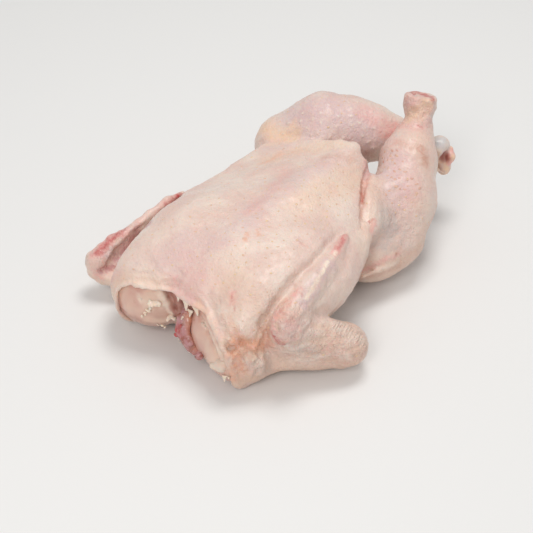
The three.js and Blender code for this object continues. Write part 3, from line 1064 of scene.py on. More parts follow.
def build_skin():
    """The skin of the whole bird, which stands for the CAD solid."""
    sizes = settings()
    bird = built(FORMS, sizes.skin_cell / MM)
    open_front(bird, sizes.rim / MM)
    trim_far_shank(bird)
    bird.rest_on_ground()
    vertices, quads = smooth_surface(bird)
    vertices = uneven(vertices, normals_of(vertices, quads))
    vertices, triangles = thinned(vertices, quads, SKIN_TRIANGLES)
    shares = painted(vertices)
    # The wrinkles' height is kept to paint a highlight on their crests and shade in their valleys.
    shares["wrinkle_shading"] = 0.5 + wrinkled(vertices)
    shares["raise"] = spread_of(vertices, GOOSE_FIELDS)
    finish = wet_finish("chicken skin")
    piece = piece_from("skin", vertices, triangles, finish, shares)
    Goosebumps("goosebumps", "Skin", finish).raise_on(piece)
    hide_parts(NODE)
    return piece


PLEATS = 12
PLEAT_SEED = 17
PLEAT_START = (336, 319)
PLEAT_END = (368, 342)
PLEAT_RUN = (-5, 10)
PLEAT_REACH = (0.8, 1.3)  # least and most of the run that a pleat takes
PLEAT_MARKS = 7
PLEAT_RISE = 3.5  # pixels by which the row of pleats bows up in its middle
PLEAT_DROP = 1.5
PLEAT_JITTER = 0.5
PLEAT_RADIUS = 1.0
PLEAT_STEP = 1.4
PLEAT_STEPS_BACK = 3
RING = 8


def tube(places, radii, flat_way):
    """Vertices and quads of a swept round tube with closed ends."""
    steps = np.gradient(places, axis=0)
    along = steps / length_of(steps)[:, None]
    side = np.cross(along, flat_way)
    side = side / length_of(side)[:, None]
    over = np.cross(side, along)
    turns = np.linspace(0, 2 * np.pi, RING, endpoint=False)
    round_way = side[:, None] * np.cos(turns)[:, None] + over[:, None] * np.sin(turns)[:, None]
    vertices = (places[:, None] + round_way * radii[:, None, None]).reshape(-1, 3)
    quads = []
    for i in range(len(places) - 1):
        for j in range(RING):
            k = (j + 1) % RING
            quads.append((i * RING + j, i * RING + k, (i + 1) * RING + k, (i + 1) * RING + j))
    half = RING // 2
    for ring in (0, len(places) - 1):
        for j in range(half - 1):
            a, b = ring * RING + j, ring * RING + j + 1
            c, d = ring * RING + RING - 2 - j, ring * RING + RING - 1 - j
            quads.append((a, b, c, d) if ring else (a, d, c, b))
    return vertices, np.array(quads)


def on_skin(places):
    """The nearest places on the finished skin."""
    tree = BVHTree.FromObject(bpy.data.objects["skin"], bpy.context.evaluated_depsgraph_get())
    moved = [(place + OFFSET) * MM for place in places]
    return np.array([np.array(tree.find_nearest(Vector(place))[0]) / MM - OFFSET for place in moved])


def build_pleats():
    """The pleats of skin that cross the upper edge of the near forearm."""
    chance = np.random.default_rng(PLEAT_SEED)
    all_vertices, all_quads, count = [], [], 0
    for n in range(PLEATS):
        share = n / (PLEATS - 1)
        bow = PLEAT_RISE * math.sin(math.pi * share)
        x = PLEAT_START[0] + share * (PLEAT_END[0] - PLEAT_START[0])
        x += chance.uniform(-PLEAT_JITTER, PLEAT_JITTER)
        y = PLEAT_START[1] + share * (PLEAT_END[1] - PLEAT_START[1]) + PLEAT_DROP - bow
        reach = chance.uniform(*PLEAT_REACH)
        steps = np.linspace(0, 1, PLEAT_MARKS)
        marks = [(x + PLEAT_RUN[0] * reach * t, y + PLEAT_RUN[1] * reach * t) for t in steps]
        places, normals = DRESSED.places(marks)
        for _ in range(PLEAT_STEPS_BACK):
            way = places[0] - places[1]
            place, normal = DRESSED.place(places[0] + PLEAT_STEP * way / np.linalg.norm(way))
            places, normals = np.vstack([place, places]), np.vstack([normal, normals])
        steps = np.linspace(0, 1, len(places))
        swell = np.sin(np.pi * (0.1 + 0.82 * steps))
        thick = PLEAT_RADIUS * (0.3 + 0.7 * swell)
        sunk = on_skin(places) - normals * (0.3 + 0.25 * thick)[:, None]
        vertices, quads = tube(sunk, thick, normals.mean(0))
        all_vertices.append(vertices)
        all_quads.append(quads + count)
        count += len(vertices)
    vertices, quads = np.concatenate(all_vertices), np.concatenate(all_quads)
    shares = painted(vertices)
    # The pleats are painted a little paler, as the painted highlight of a wrinkle's crest.
    shares["wrinkle_shading"] = np.full(len(vertices), 0.6)
    return piece_from("wing_pleats", vertices, quads, bpy.data.materials["chicken skin"], shares)


# ---------------------------------------------------------------- meat, neck and bone ends

MEAT_CELL = 1.2
MEAT_LOW = (-80.0, -110.0, -SINK)
MEAT_HIGH = (60.0, -52.0, 80.0)
MEAT_BACK = -58.0
POCKET = ((-9, -84, 42), (6, 16, 8))
NEAR_MEAT = ((14.5, -70, 28), (20, 20, 26))
RECESS = ((175, 301), 7.5, 2.5)  # mark, radius and lift
MUSCLE_CREASES = (  # marks, depth, half width and blend
    (((163, 287), (166, 296), (170, 305), (174, 313)), 3.5, 0.5, 2.5),
    (((196, 312), (205, 330), (213, 350), (219, 365)), 1.0, 0.3, 1.5),
)
MEMBRANE_FOLDS = ((-4.0, 0.8), (-8.0, 0.7))  # how far from the opening's edge, and radius
MEMBRANE_BLEND = 2.0
NEAR_MEAT_BLEND = 3
POCKET_BLEND = 4
RECESS_BLEND = 2
RECESS_LENGTH = 1.3  # how much longer than wide the recess is
CLEFT_START = 1.5
MEAT_TUCK = 4  # how far the meat goes on under the skin
MEAT_LUMPS = ((0.5, 11.0, 81), (0.15, 4.0, 82))  # height, pitch and seed


def cleft(places, normals, depth, half):
    """Thin webs down into a surface along places, starting a little above it."""
    over = places + normals * CLEFT_START
    under = places - normals * depth
    for i in range(len(places) - 1):
        yield web([over[i], over[i + 1], under[i + 1]], half)
        yield web([over[i], under[i], under[i + 1]], half)


def build_meat():
    """The two ends of the breast that bulge out of the open front."""
    bird = Field(MEAT_CELL, MEAT_LOW, MEAT_HIGH)
    for mass in (torso, breast_ends):
        mass(bird)
    bird.add(ellipsoid(*NEAR_MEAT), NEAR_MEAT_BLEND)
    where, points = bird.block(bird.low, np.array(MEAT_HIGH))
    inset = settings().skin_thickness / MM
    body = bird.value[where].astype(float) + inset
    edge = opening(points)
    tucked = np.maximum(edge - MEAT_TUCK, points[..., 1] - MEAT_BACK)
    near_side = eased((points[..., 0] - 12) / 10)
    for gap, thick in MEMBRANE_FOLDS:
        fold = np.sqrt(body**2 + (edge - gap) ** 2) - thick * near_side
        body = blend_min(body, fold, MEMBRANE_BLEND)
    body = np.maximum(body, tucked)
    bird.value[where] = body.astype(np.float32)
    bird.cut(ellipsoid(*POCKET), POCKET_BLEND)
    pixel, radius, lift = RECESS
    place, normal = PLAIN.place(pixel)
    hollow = ellipsoid(place + lift * normal, (radius, radius, radius * RECESS_LENGTH))
    bird.cut(hollow, RECESS_BLEND)
    for marks, depth, half, blend in MUSCLE_CREASES:
        places, normals = PLAIN.places(marks)
        for blade in cleft(places - inset * normals, normals, depth, half):
            bird.cut(blade, blend)
    bird.rest_on_ground()
    vertices, quads = smooth_surface(bird, rounds=3)
    vertices = roughened(vertices, quads, *MEAT_LUMPS)
    return piece_from("breast_meat", vertices, quads, wet_finish("breast meat"), meat_shares(vertices, quads))


# Colours of the meat: kind, marks, reach and strength.
MEAT_DABS = (
    # Partly painted shade: dark meat in the notch's recess, which is also darker meat of its own.
    ("deep_and_shade", ((172, 293), (176, 302), (178, 311), (176, 320)), 8, 0.95),
    ("deep_and_shade", ((183, 300), (184, 312)), 8, 1.0),
    # Painted shade and warm reflection low on the far lobe, in this dab and the next.
    ("deep_and_shade", ((124, 312), (138, 321), (152, 325), (165, 325)), 8, 0.55),
    ("deep_and_shade", ((150, 313), (160, 315), (166, 312)), 7, 0.4),
    # Painted shade at the foot of the near lobe, under the cartilage.
    ("deep_and_shade", ((217, 376), (223, 379)), 4, 0.8),
    ("pale", ((128, 300), (135, 312)), 12, 0.5),
    ("pale", ((203, 335), (212, 358)), 9, 0.6),
    ("film", ((158, 290), (162, 296), (165, 303)), 4.5, 1.0),
    ("film", ((165, 303), (168, 310), (172, 315)), 1.8, 1.0),
    ("film", ((138, 295), (141, 302)), 2.5, 0.6),
    ("film", ((144, 302), (150, 308)), 4, 0.4),
    ("film", ((203, 323), (213, 338), (221, 354), (225, 366)), 3, 0.7),
)
MEAT_KINDS = ("deep_and_shade", "pale", "film")


def meat_shares(vertices, quads):
    """The shares of the meat's colours, whose marks are sighted on the meat itself."""
    meat = Sighted(vertices, quads)
    return dabbed(vertices, meat, MEAT_KINDS, MEAT_DABS, MEAT_DAB_SEED, rag=0.4, feels=2.0)


# Lumps sighted on the open front: pixel, radius and lift off the surface, in millimetres.
NECK_LUMPS = (
    ((187, 312), 3.4, 0.0),
    ((183, 318), 3.4, 1.0),
    ((189, 321), 3.6, 1.0),
    ((182, 326), 3.0, 1.8),
    ((188, 330), 3.6, 1.8),
    ((183, 333), 3.0, 2.3),
    ((187, 339), 3.0, 2.4),
    ((192, 340), 3.6, 1.2),
    ((191, 346), 2.8, 2.2),
    ((196, 349), 3.2, 1.5),
    ((197, 354), 2.5, 2.0),
    ((201, 356), 2.6, 0.8),
)
NECK_CORE = ((183, 330),)
NECK_STRIP = ((190, 316), (191, 330), (195, 346))
CARTILAGE_LUMPS = (
    ((211, 367), 2.6, -2.4),
    ((215, 370), 3.6, -3.2),
    ((220, 370), 3.6, -3.2),
    ((223, 366), 3.0, -2.7),
    ((218, 366), 3.4, -3.0),
)
BLOOD_LUMPS = (
    ((183, 330), 2.0, 3.8),
    ((186, 326), 1.5, 3.4),
    ((182, 334), 1.5, 3.9),
)
LUMP_MARGIN = 4
LUMP_SHARES = (1.15, 0.85, 1.0)
MOST_SPIN = 60
SCRAP_MARGIN = 3


def scraps(shapes, cell, blend, layer):
    """Vertices and quads of small shapes that run together, with an uneven surface."""
    low = np.min([shape.low for shape in shapes], 0) - SCRAP_MARGIN
    high = np.max([shape.high for shape in shapes], 0) + SCRAP_MARGIN
    field = Field(cell, low, high)
    for shape in shapes:
        field.add(shape, blend)
    vertices, quads = smooth_surface(field, rounds=1, share=0.4)
    return roughened(vertices, quads, layer), quads


def lumps(marks, cell, blend, pitch, height, seed):
    """Vertices and quads of lumps that run together, with an uneven surface."""
    centres, radii = [], []
    for pixel, radius, lift in marks:
        place, normal = PLAIN.place(pixel)
        centres.append(place + lift * normal)
        radii.append(radius)
    centres = np.array(centres)
    margin = max(radii) + LUMP_MARGIN
    field = Field(cell, centres.min(0) - margin, centres.max(0) + margin)
    for n, (centre, radius) in enumerate(zip(centres, radii)):
        spin = np.random.default_rng(seed + n).uniform(-MOST_SPIN, MOST_SPIN, 3)
        field.add(ellipsoid(centre, radius * np.array(LUMP_SHARES), spin), blend)
    vertices, quads = smooth_surface(field)
    return roughened(vertices, quads, (height, pitch, seed)), quads


def build_neck():
    """The neck's end, dark in its core and with a paler strip down its side."""
    vertices, quads = lumps(NECK_LUMPS, cell=0.6, blend=3.4, pitch=3.2, height=0.7, seed=101)
    core, strip = (gap_to_line(vertices, PLAIN.places(marks)[0]) for marks in (NECK_CORE, NECK_STRIP))
    shares = {"dark": nearness(core, 9), "strip": nearness(strip, 6)}
    return piece_from("neck_stump", vertices, quads, wet_finish("neck stump"), shares)


def build_cartilage():
    """The cream cartilage at the near shoulder."""
    vertices, quads = lumps(CARTILAGE_LUMPS, cell=0.6, blend=2.5, pitch=3.0, height=0.3, seed=121)
    return piece_from("shoulder_cartilage", vertices, quads, wet_finish("cartilage"))


def build_blood():
    """The dark red spots on the neck's end."""
    vertices, quads = lumps(BLOOD_LUMPS, cell=0.5, blend=1.0, pitch=2.0, height=0.4, seed=131)
    shares = {"dark": np.ones(len(vertices))}
    return piece_from("blood_spots", vertices, quads, wet_finish("neck stump"), shares)


JOINT_LOW = (0.0, 135.0, 28.0)
JOINT_HIGH = (46.0, 178.0, 74.0)
JOINT_COLOURS = {  # places, reach and slope of each colour
    "knuckle": (((26.0, 156, 59),), 10, 1.5),
    "hollow": (((32.0, 155, 51),), 6.5, 1.5),
    "rim": (((33.0, 162, 53), (35.0, 158, 46)), 4, 1.6),
}


def build_shank_joint():
    """The knuckle of the far leg, with the hollow and the stub of its lower bone."""
    joint = Field(0.7, JOINT_LOW, JOINT_HIGH)
    joint.add(limb([(6, 147, 49), (21, 153, 51)], [8.5, 8.0]), 3)
    joint.add(ellipsoid((25, 158, 58), (7.5, 7.0, 5.5), (0, 10, 20)), 2.5)
    joint.add(ellipsoid((27, 153, 55), (5.0, 4.5, 5.0)), 2.0)
    joint.add(limb([(26, 160, 50), (30, 158, 40)], [6.5, 5.5]), 2.5)
    joint.cut(ellipsoid((34, 155, 51), (5.5, 5.0, 4.5), (0, 25, 0)), 1.5)
    joint.add(limb([(31, 163, 54), (34, 160, 50), (34, 158, 46)], [2.2, 2.0, 2.0]), 1.5)
    joint.add(limb([(22, 147, 49), (29, 149, 43), (34, 152, 40)], [0.8, 0.7, 0.7]), 0.8)
    vertices, quads = smooth_surface(joint)
    vertices = roughened(vertices, quads, (0.35, 3.0, 141))
    shares = {
        name: nearness(gap_to_line(vertices, np.array(line)), reach, slope)
        for name, (line, reach, slope) in JOINT_COLOURS.items()
    }
    return piece_from("far_shank_joint", vertices, quads, wet_finish("knuckle and bone"), shares)


# Torn tags of skin: the pixels of the two roots and of the tip.
TAGS = (
    ((175, 291), (181, 293), (179, 301)),
    ((181, 294), (189, 300), (187, 310)),
    ((187, 309), (192, 312), (188, 322)),
    ((191, 305), (198, 309), (199, 315)),
    ((185, 297), (190, 301), (191, 305)),
    ((222, 376), (226, 377), (225, 380)),
)
TAG_ROOT = 0.5  # how deep the roots lie, and how high the tip stands off
TAG_TIP = 1.0
TAG_HALF = 0.4


def build_tags():
    """Torn tags of skin that hang at the rim of the open front."""
    flaps = []
    for first, last, tip in TAGS:
        a, b, c = (PLAIN.place(mark) for mark in (first, last, tip))
        corners = [a[0] - TAG_ROOT * a[1], b[0] - TAG_ROOT * b[1], c[0] + TAG_TIP * c[1]]
        flaps.append(web(corners, TAG_HALF))
    vertices, quads = scraps(flaps, cell=0.45, blend=0.6, layer=(0.25, 1.8, 151))
    return piece_from("skin_tags", vertices, quads, wet_finish("fat and skin scraps"))


# Shreds of fat on the meat and the skin: marks along each, crumbs, and radius and lift in millimetres.
SHREDS = (
    (((149, 301), (149, 306), (147, 311)), 7, 1.0, -1.3),
    (((151, 305), (155, 303), (159, 305)), 11, 1.3, -1.5),
    (((159, 306), (162, 305)), 3, 1.1, -1.5),
    (((142, 316), (146, 313)), 5, 1.0, -1.5),
    (((138, 296), (139, 301)), 2, 0.6, -1.3),
    (((167, 319), (170, 317), (173, 319)), 6, 1.4, -1.2),
    (((156, 327), (166, 327)), 4, 0.9, -1.0),
    (((257, 361), (260, 365)), 5, 0.7, -0.2),
    (((184, 339), (187, 341)), 3, 0.7, 4.4),
    (((191, 348), (193, 350)), 2, 0.6, 4.4),
    (((187, 315), (187, 320)), 4, 0.8, 3.4),
    (((229, 377), (233, 379)), 3, 0.8, -0.3),
)
CRUMB_SEED = 160
CRUMB_JITTER = 1.4
CRUMB_SIZES = (0.6, 1.4)


def build_shreds():
    """Crumbs and shreds of white fat that cling to the meat, the neck and the skin below it."""
    chance = np.random.default_rng(CRUMB_SEED)
    crumbs = []
    for marks, count, radius, lift in SHREDS:
        places, normals = PLAIN.places(marks)
        for share in np.linspace(0, 1, count) * (len(marks) - 1):
            first = min(int(share), len(marks) - 2)
            centre = places[first] + (share - first) * (places[first + 1] - places[first])
            centre = centre + lift * normals[first] + chance.uniform(-CRUMB_JITTER, CRUMB_JITTER, 3)
            size = radius * chance.uniform(*CRUMB_SIZES, 3)
            crumbs.append(ellipsoid(centre, size, chance.uniform(-MOST_SPIN, MOST_SPIN, 3)))
    vertices, quads = scraps(crumbs, cell=0.6, blend=0.7, layer=(0.3, 1.4, 171))
    return piece_from("fat_shreds", vertices, quads, wet_finish("fat and skin scraps"))


# ---------------------------------------------------------------- node trees


class Socket:
    """An output of a node, or a number, that takes part in arithmetic."""

    def __init__(self, nodes, end):
        self.nodes = nodes
        self.end = end

    def of(self, name):
        """Another output of the same node."""
        return Socket(self.nodes, self.end.node.outputs[name])

    def maths(self, operation, *others):
        inputs = dict(enumerate((self, *others)))
        return self.nodes.add("ShaderNodeMath", inputs, operation=operation)

    def __add__(self, other):
        return self.maths("ADD", other)

    __radd__ = __add__

    def __mul__(self, other):
        return self.maths("MULTIPLY", other)

    __rmul__ = __mul__

    def __sub__(self, other):
        return self.maths("SUBTRACT", other)

    def __rsub__(self, other):
        return self.nodes.add("ShaderNodeMath", {0: other, 1: self}, operation="SUBTRACT")

    def between(self, low, high):
        """A smooth step from 0 at low to 1 at high."""
        inputs = {"Value": self, "From Min": low, "From Max": high}
        return self.nodes.add("ShaderNodeMapRange", inputs, interpolation_type="SMOOTHSTEP")


def rgba(colour):
    """A colour with full opacity, or a socket as it is."""
    return colour if isinstance(colour, Socket) else (*colour, 1.0)


class Nodes:
    """Builds a tree of nodes."""

    def __init__(self, tree):
        self.tree = tree
        tree.nodes.clear()

    def add(self, kind, inputs=None, output=0, **options):
        node = self.tree.nodes.new(kind)
        for option, value in options.items():
            setattr(node, option, value)
        for name, value in (inputs or {}).items():
            if isinstance(value, Socket):
                self.tree.links.new(value.end, node.inputs[name])
            else:
                node.inputs[name].default_value = value
        return Socket(self, node.outputs[output]) if node.outputs else node

    def mixed(self, share, first, second):
        """The first colour, with a share of the second one over it."""
        inputs = {0: share, 6: rgba(first), 7: rgba(second)}
        return self.add("ShaderNodeMix", inputs, 2, data_type="RGBA")

    def noise(self, place, pitch, detail=2.0, roughness=0.5, distortion=0.0):
        """Noise with features about a pitch apart, in metres."""
        inputs = {
            "Vector": place,
            "Scale": 1 / pitch,
            "Detail": detail,
            "Roughness": roughness,
            "Distortion": distortion,
        }
        return self.add("ShaderNodeTexNoise", inputs)

    def share(self, name):
        """A share that the mesh holds for each vertex."""
        return self.add("ShaderNodeAttribute", output="Fac", attribute_name=name)


FLESH_GLOW = (1.0, 0.45, 0.3)
FLESH_GLOW_DEPTH = 3
WET_SHINE = 0.4
WET_COAT_ROUGHNESS = 0.22


def wet_finish(name):
    """A moist material. Its look returns its colour, its sheen, and its grain's height and depth."""
    look, roughness, coat, subsurface = FINISHES[name]
    finish = bpy.data.materials.new(name)
    finish.use_nodes = True
    nodes = Nodes(finish.node_tree)
    place = nodes.add("ShaderNodeTexCoord", output="Object")
    colour, sheen, height, depth = look(nodes, place, settings().colours)
    bump = nodes.add("ShaderNodeBump", {"Height": height, "Strength": 1.0, "Distance": depth})
    inputs = {
        "Base Color": colour,
        "Roughness": sheen * roughness,
        "Normal": bump,
        "Subsurface Weight": subsurface,
        "Subsurface Radius": FLESH_GLOW,
        "Subsurface Scale": FLESH_GLOW_DEPTH * MM,
        "Specular IOR Level": WET_SHINE,
        "Coat Weight": coat,
        "Coat Roughness": WET_COAT_ROUGHNESS,
    }
    shader = nodes.add("ShaderNodeBsdfPrincipled", inputs)
    nodes.add("ShaderNodeOutputMaterial", {"Surface": shader})
    return finish


PAINTED_BOUNCE_HEIGHT = 45.0  # height below which the skin is painted warmer and darker, a painted warm reflection and shade low down
FIBRE_TURN = (0.3, 0.5, 0.5)
FIBRE_STRETCH = (1, 0.16, 1)
DAB_TONES = {  # the kinds of dab in the order in which they lie on one another
    "lilac": "lilac",
    "tan": "tan",
    "grey": "grey",
    "blush": "blush",
    "fat": "fat",
    "orange": "orange",
    "white": "scrap",
    "brown": "brown",
    "mauve_fold_shade": "mauve_fold_shade",
    "red": "blood",
}


def skin_look(nodes, place, tones):
    """Mottled skin over fat and dark meat, with its dabs of colour and its creases, painted warmer and darker
    low down as a painted reflection and shade, and paler on its wrinkles' crests and tan in their valleys as
    a painted highlight and shade.
    """
    broad = nodes.noise(place, 28 * MM, 3)
    patchy = nodes.noise(place, 9 * MM, 3, distortion=0.6)
    other = nodes.noise(place, 13 * MM, 2, distortion=0.4)
    blotch = nodes.noise(place, 4.5 * MM, 3, 0.6, 0.9)
    fine = nodes.noise(place, 2.2 * MM, 3)
    grain = nodes.noise(place, 1.1 * MM, 2)
    colour = nodes.mixed(broad.between(0.35, 0.68), tones.skin, tones.skin_pale)
    # Painted warm reflection and shade: the skin is mixed towards tan below a height over the floor.
    height_up = nodes.add("ShaderNodeSeparateXYZ", {"Vector": place}, "Z")
    low = 1 - height_up.between(0.0, PAINTED_BOUNCE_HEIGHT * MM)
    colour = nodes.mixed(low * 0.5, colour, tones.tan)
    colour = nodes.mixed(patchy.between(0.5, 0.8) * 0.26, colour, tones.blush)
    colour = nodes.mixed(other.between(0.5, 0.78) * 0.22, colour, tones.lilac)
    for kind, tone in DAB_TONES.items():
        amount = nodes.share(kind) * (0.5 + 0.9 * blotch.between(0.3, 0.7))
        colour = nodes.mixed(amount.maths("MINIMUM", 1.0), colour, getattr(tones, tone))
    warp = nodes.noise(place, 16 * MM, 4, 0.6, 1.2)
    vein = 1 - (warp - 0.5).maths("ABSOLUTE").between(0.0, 0.012)
    vein = vein * broad.between(0.5, 0.64) * 0.14
    colour = nodes.mixed(vein, colour, tones.blood)
    rough = nodes.share("rough")
    wrinkle_shading = nodes.share("wrinkle_shading")
    colour = nodes.mixed(blotch.between(0.54, 0.72) * 0.28, colour, tones.skin_pale)
    colour = nodes.mixed((1 - blotch).between(0.54, 0.74) * (0.16 + 0.3 * rough), colour, tones.tan)
    # Painted highlight on the wrinkles' crests and painted shade in their valleys.
    colour = nodes.mixed(wrinkle_shading.between(0.55, 0.95) * 0.5, colour, tones.skin_pale)
    colour = nodes.mixed((1 - wrinkle_shading).between(0.55, 1.0) * 0.4, colour, tones.tan)
    speckle = fine.between(0.58, 0.7) * patchy.between(0.35, 0.6)
    colour = nodes.mixed(speckle * 0.22, colour, tones.fat)
    colour = nodes.mixed((1 - fine).between(0.58, 0.72) * 0.18, colour, tones.blush)
    mottle = nodes.noise(place, 3.0 * MM, 3, 0.6, 1.4)
    colour = nodes.mixed(mottle.between(0.5, 0.66) * (0.05 + 0.4 * rough), colour, tones.blush)
    pale = nodes.noise(place, 3.6 * MM, 3, 0.6, 1.2)
    colour = nodes.mixed(pale.between(0.56, 0.7) * (0.1 + 0.4 * rough), colour, tones.skin_pale)
    colour = nodes.mixed(nodes.share("goose").between(0.1, 0.8) * 0.75, colour, tones.skin_pale)
    pits = nodes.add("ShaderNodeTexVoronoi", {"Vector": place, "Scale": 1 / (2.0 * MM)})
    crease = nodes.noise(place, 4.2 * MM, 4, 0.65, 1.1)
    height = pits.between(0.0, 0.5) * 0.22 + crease + fine * 0.4 + grain * 0.12
    height = height * (0.8 + 1.1 * rough)
    return colour, 0.8 + 0.45 * patchy, height, 0.85 * MM


def meat_look(nodes, place, tones):
    """Fibres of meat that run one way, under films of white skin."""
    inputs = {"Vector": place, "Rotation": FIBRE_TURN, "Scale": FIBRE_STRETCH}
    stretch = nodes.add("ShaderNodeMapping", inputs)
    fibre = nodes.noise(stretch, 1.6 * MM, 3)
    broad = nodes.noise(place, 14 * MM, 2)
    colour = nodes.mixed(broad.between(0.3, 0.7), tones.meat, tones.meat_pale)
    colour = nodes.mixed(nodes.share("pale") * 0.8, colour, tones.meat_pale)
    # This share is darker meat and painted shade.
    colour = nodes.mixed(nodes.share("deep_and_shade") * 0.85, colour, tones.meat_deep)
    cloudy = nodes.noise(place, 4 * MM, 3, distortion=0.5).between(0.3, 0.7)
    colour = nodes.mixed(nodes.share("film") * (0.5 + 0.5 * cloudy), colour, tones.scrap)
    colour = nodes.mixed(fibre.between(0.45, 0.8) * 0.14, colour, tones.cartilage)
    return colour, 0.8 + 0.4 * broad, fibre * 0.5 + broad * 0.5, 0.12 * MM


def neck_look(nodes, place, tones):
    """Purple pink neck, with a core of blood and a strip of orange fat."""
    blotch = nodes.noise(place, 4.5 * MM, 3, distortion=0.6)
    fine = nodes.noise(place, 1.4 * MM, 3)
    colour = nodes.mixed(blotch.between(0.35, 0.65), tones.neck, tones.meat_deep)
    colour = nodes.mixed(nodes.share("strip") * 0.7, colour, tones.orange)
    colour = nodes.mixed(nodes.share("dark") * 0.85, colour, tones.blood)
    colour = nodes.mixed(fine.between(0.55, 0.75) * 0.35, colour, tones.cartilage)
    return colour, 0.7 + 0.6 * blotch, fine + blotch, 0.35 * MM


def cartilage_look(nodes, place, tones):
    cloudy = nodes.noise(place, 5 * MM, 3)
    colour = nodes.mixed(cloudy.between(0.35, 0.7) * 0.7, tones.cartilage, tones.meat_pale)
    return colour, 0.8 + 0.4 * cloudy, nodes.noise(place, 2 * MM, 2), 0.15 * MM


def scrap_look(nodes, place, tones):
    cloudy = nodes.noise(place, 3 * MM, 3)
    colour = nodes.mixed(cloudy.between(0.4, 0.75) * 0.45, tones.scrap, tones.fat)
    return colour, 0.8 + 0.4 * cloudy, nodes.noise(place, 1.5 * MM, 2), 0.3 * MM


def bone_look(nodes, place, tones):
    """Skin and fat that run out into a grey white knuckle with a dark hollow."""
    cloudy = nodes.noise(place, 4 * MM, 3, distortion=0.3)
    colour = nodes.mixed(cloudy.between(0.35, 0.7), tones.fat, tones.skin)
    colour = nodes.mixed(nodes.share("knuckle"), colour, tones.knuckle)
    colour = nodes.mixed(nodes.share("rim") * 0.9, colour, tones.blush)
    colour = nodes.mixed(nodes.share("hollow") * 0.95, colour, tones.hollow)
    return colour, 0.8 + 0.4 * cloudy, nodes.noise(place, 2 * MM, 3), 0.3 * MM


def follicle_look(nodes, place, tones):
    blotch = nodes.noise(place, 6 * MM, 2)
    colour = nodes.mixed(blotch.between(0.35, 0.65), tones.follicle, tones.pore_dark)
    return colour, 0.9 + 0.2 * blotch, blotch, 0.05 * MM


def pore_look(nodes, place, tones):
    blotch = nodes.noise(place, 12 * MM, 2)
    colour = nodes.mixed(blotch.between(0.4, 0.6), tones.pore, tones.pore_dark)
    return colour, 0.9 + 0.2 * blotch, blotch, 0.05 * MM


FINISHES = {  # look, roughness, coat and subsurface weight
    "chicken skin": (skin_look, 0.4, 0.25, 0.12),
    "breast meat": (meat_look, 0.3, 0.45, 0.2),
    "neck stump": (neck_look, 0.22, 0.8, 0.15),
    "cartilage": (cartilage_look, 0.3, 0.5, 0.25),
    "fat and skin scraps": (scrap_look, 0.38, 0.3, 0.2),
    "knuckle and bone": (bone_look, 0.34, 0.4, 0.12),
    "follicles": (follicle_look, 0.42, 0.2, 0.12),
    "pores": (pore_look, 0.45, 0.2, 0.12),
}


# ---------------------------------------------------------------- pores and goosebumps


BUMP_INPUTS = {  # kind and default of each size that a tree of bumps takes
    "Radius": ("NodeSocketFloat", 1.0),
    "Height": ("NodeSocketFloat", 1.0),
    "Spacing": ("NodeSocketFloat", 1.0),
    "Density": ("NodeSocketFloat", 1.0),
    "Seed": ("NodeSocketInt", 0),
}


class Bumps:
    """A tree that works on spots of a surface, with its sizes as named inputs."""

    def __init__(self, name, result, finish):
        self.tree = bpy.data.node_groups.new(name, "GeometryNodeTree")
        interface = self.tree.interface
        interface.new_socket("Surface", in_out="INPUT", socket_type="NodeSocketGeometry")
        self.ids = {}
        for size, (kind, value) in BUMP_INPUTS.items():
            socket = interface.new_socket(size, in_out="INPUT", socket_type=kind)
            socket.default_value = value
            self.ids[size] = socket.identifier
        interface.new_socket(result, in_out="OUTPUT", socket_type="NodeSocketGeometry")
        nodes = Nodes(self.tree)
        shaped = self.shaped(nodes, nodes.add("NodeGroupInput", output="Surface"))
        plain = nodes.add("GeometryNodeRealizeInstances", {"Geometry": shaped})
        finished = nodes.add("GeometryNodeSetMaterial", {"Geometry": plain, "Material": finish})
        nodes.add("NodeGroupOutput", {result: finished})

    def spots(self, nodes, given, share):
        """Points on a surface, no nearer each other than a spacing."""
        inputs = {
            "Mesh": given,
            "Distance Min": given.of("Spacing"),
            "Density Max": given.of("Density"),
            "Density Factor": share,
            "Seed": given.of("Seed"),
        }
        return nodes.add("GeometryNodeDistributePointsOnFaces", inputs, distribute_method="POISSON")

    def mesh_on(self, carrier, sizes):
        """The mesh that the tree makes of an object, with its inputs set by their identifiers."""
        shaper = carrier.modifiers.new("shaper", "NODES")
        shaper.node_group = self.tree
        for size, value in sizes.items():
            shaper[self.ids[size]] = value
        view = bpy.context.evaluated_depsgraph_get()
        mesh = bpy.data.meshes.new_from_object(carrier.evaluated_get(view))
        carrier.modifiers.clear()
        return mesh


DOME_SEGMENTS = 8
DOME_RINGS = 5
DOME_SEED = 7
DOME_LEAST = (0.6, 0.6, 0.6)  # least and most of the size that a dome may have
DOME_MOST = (1.5, 1.0, 1.2)


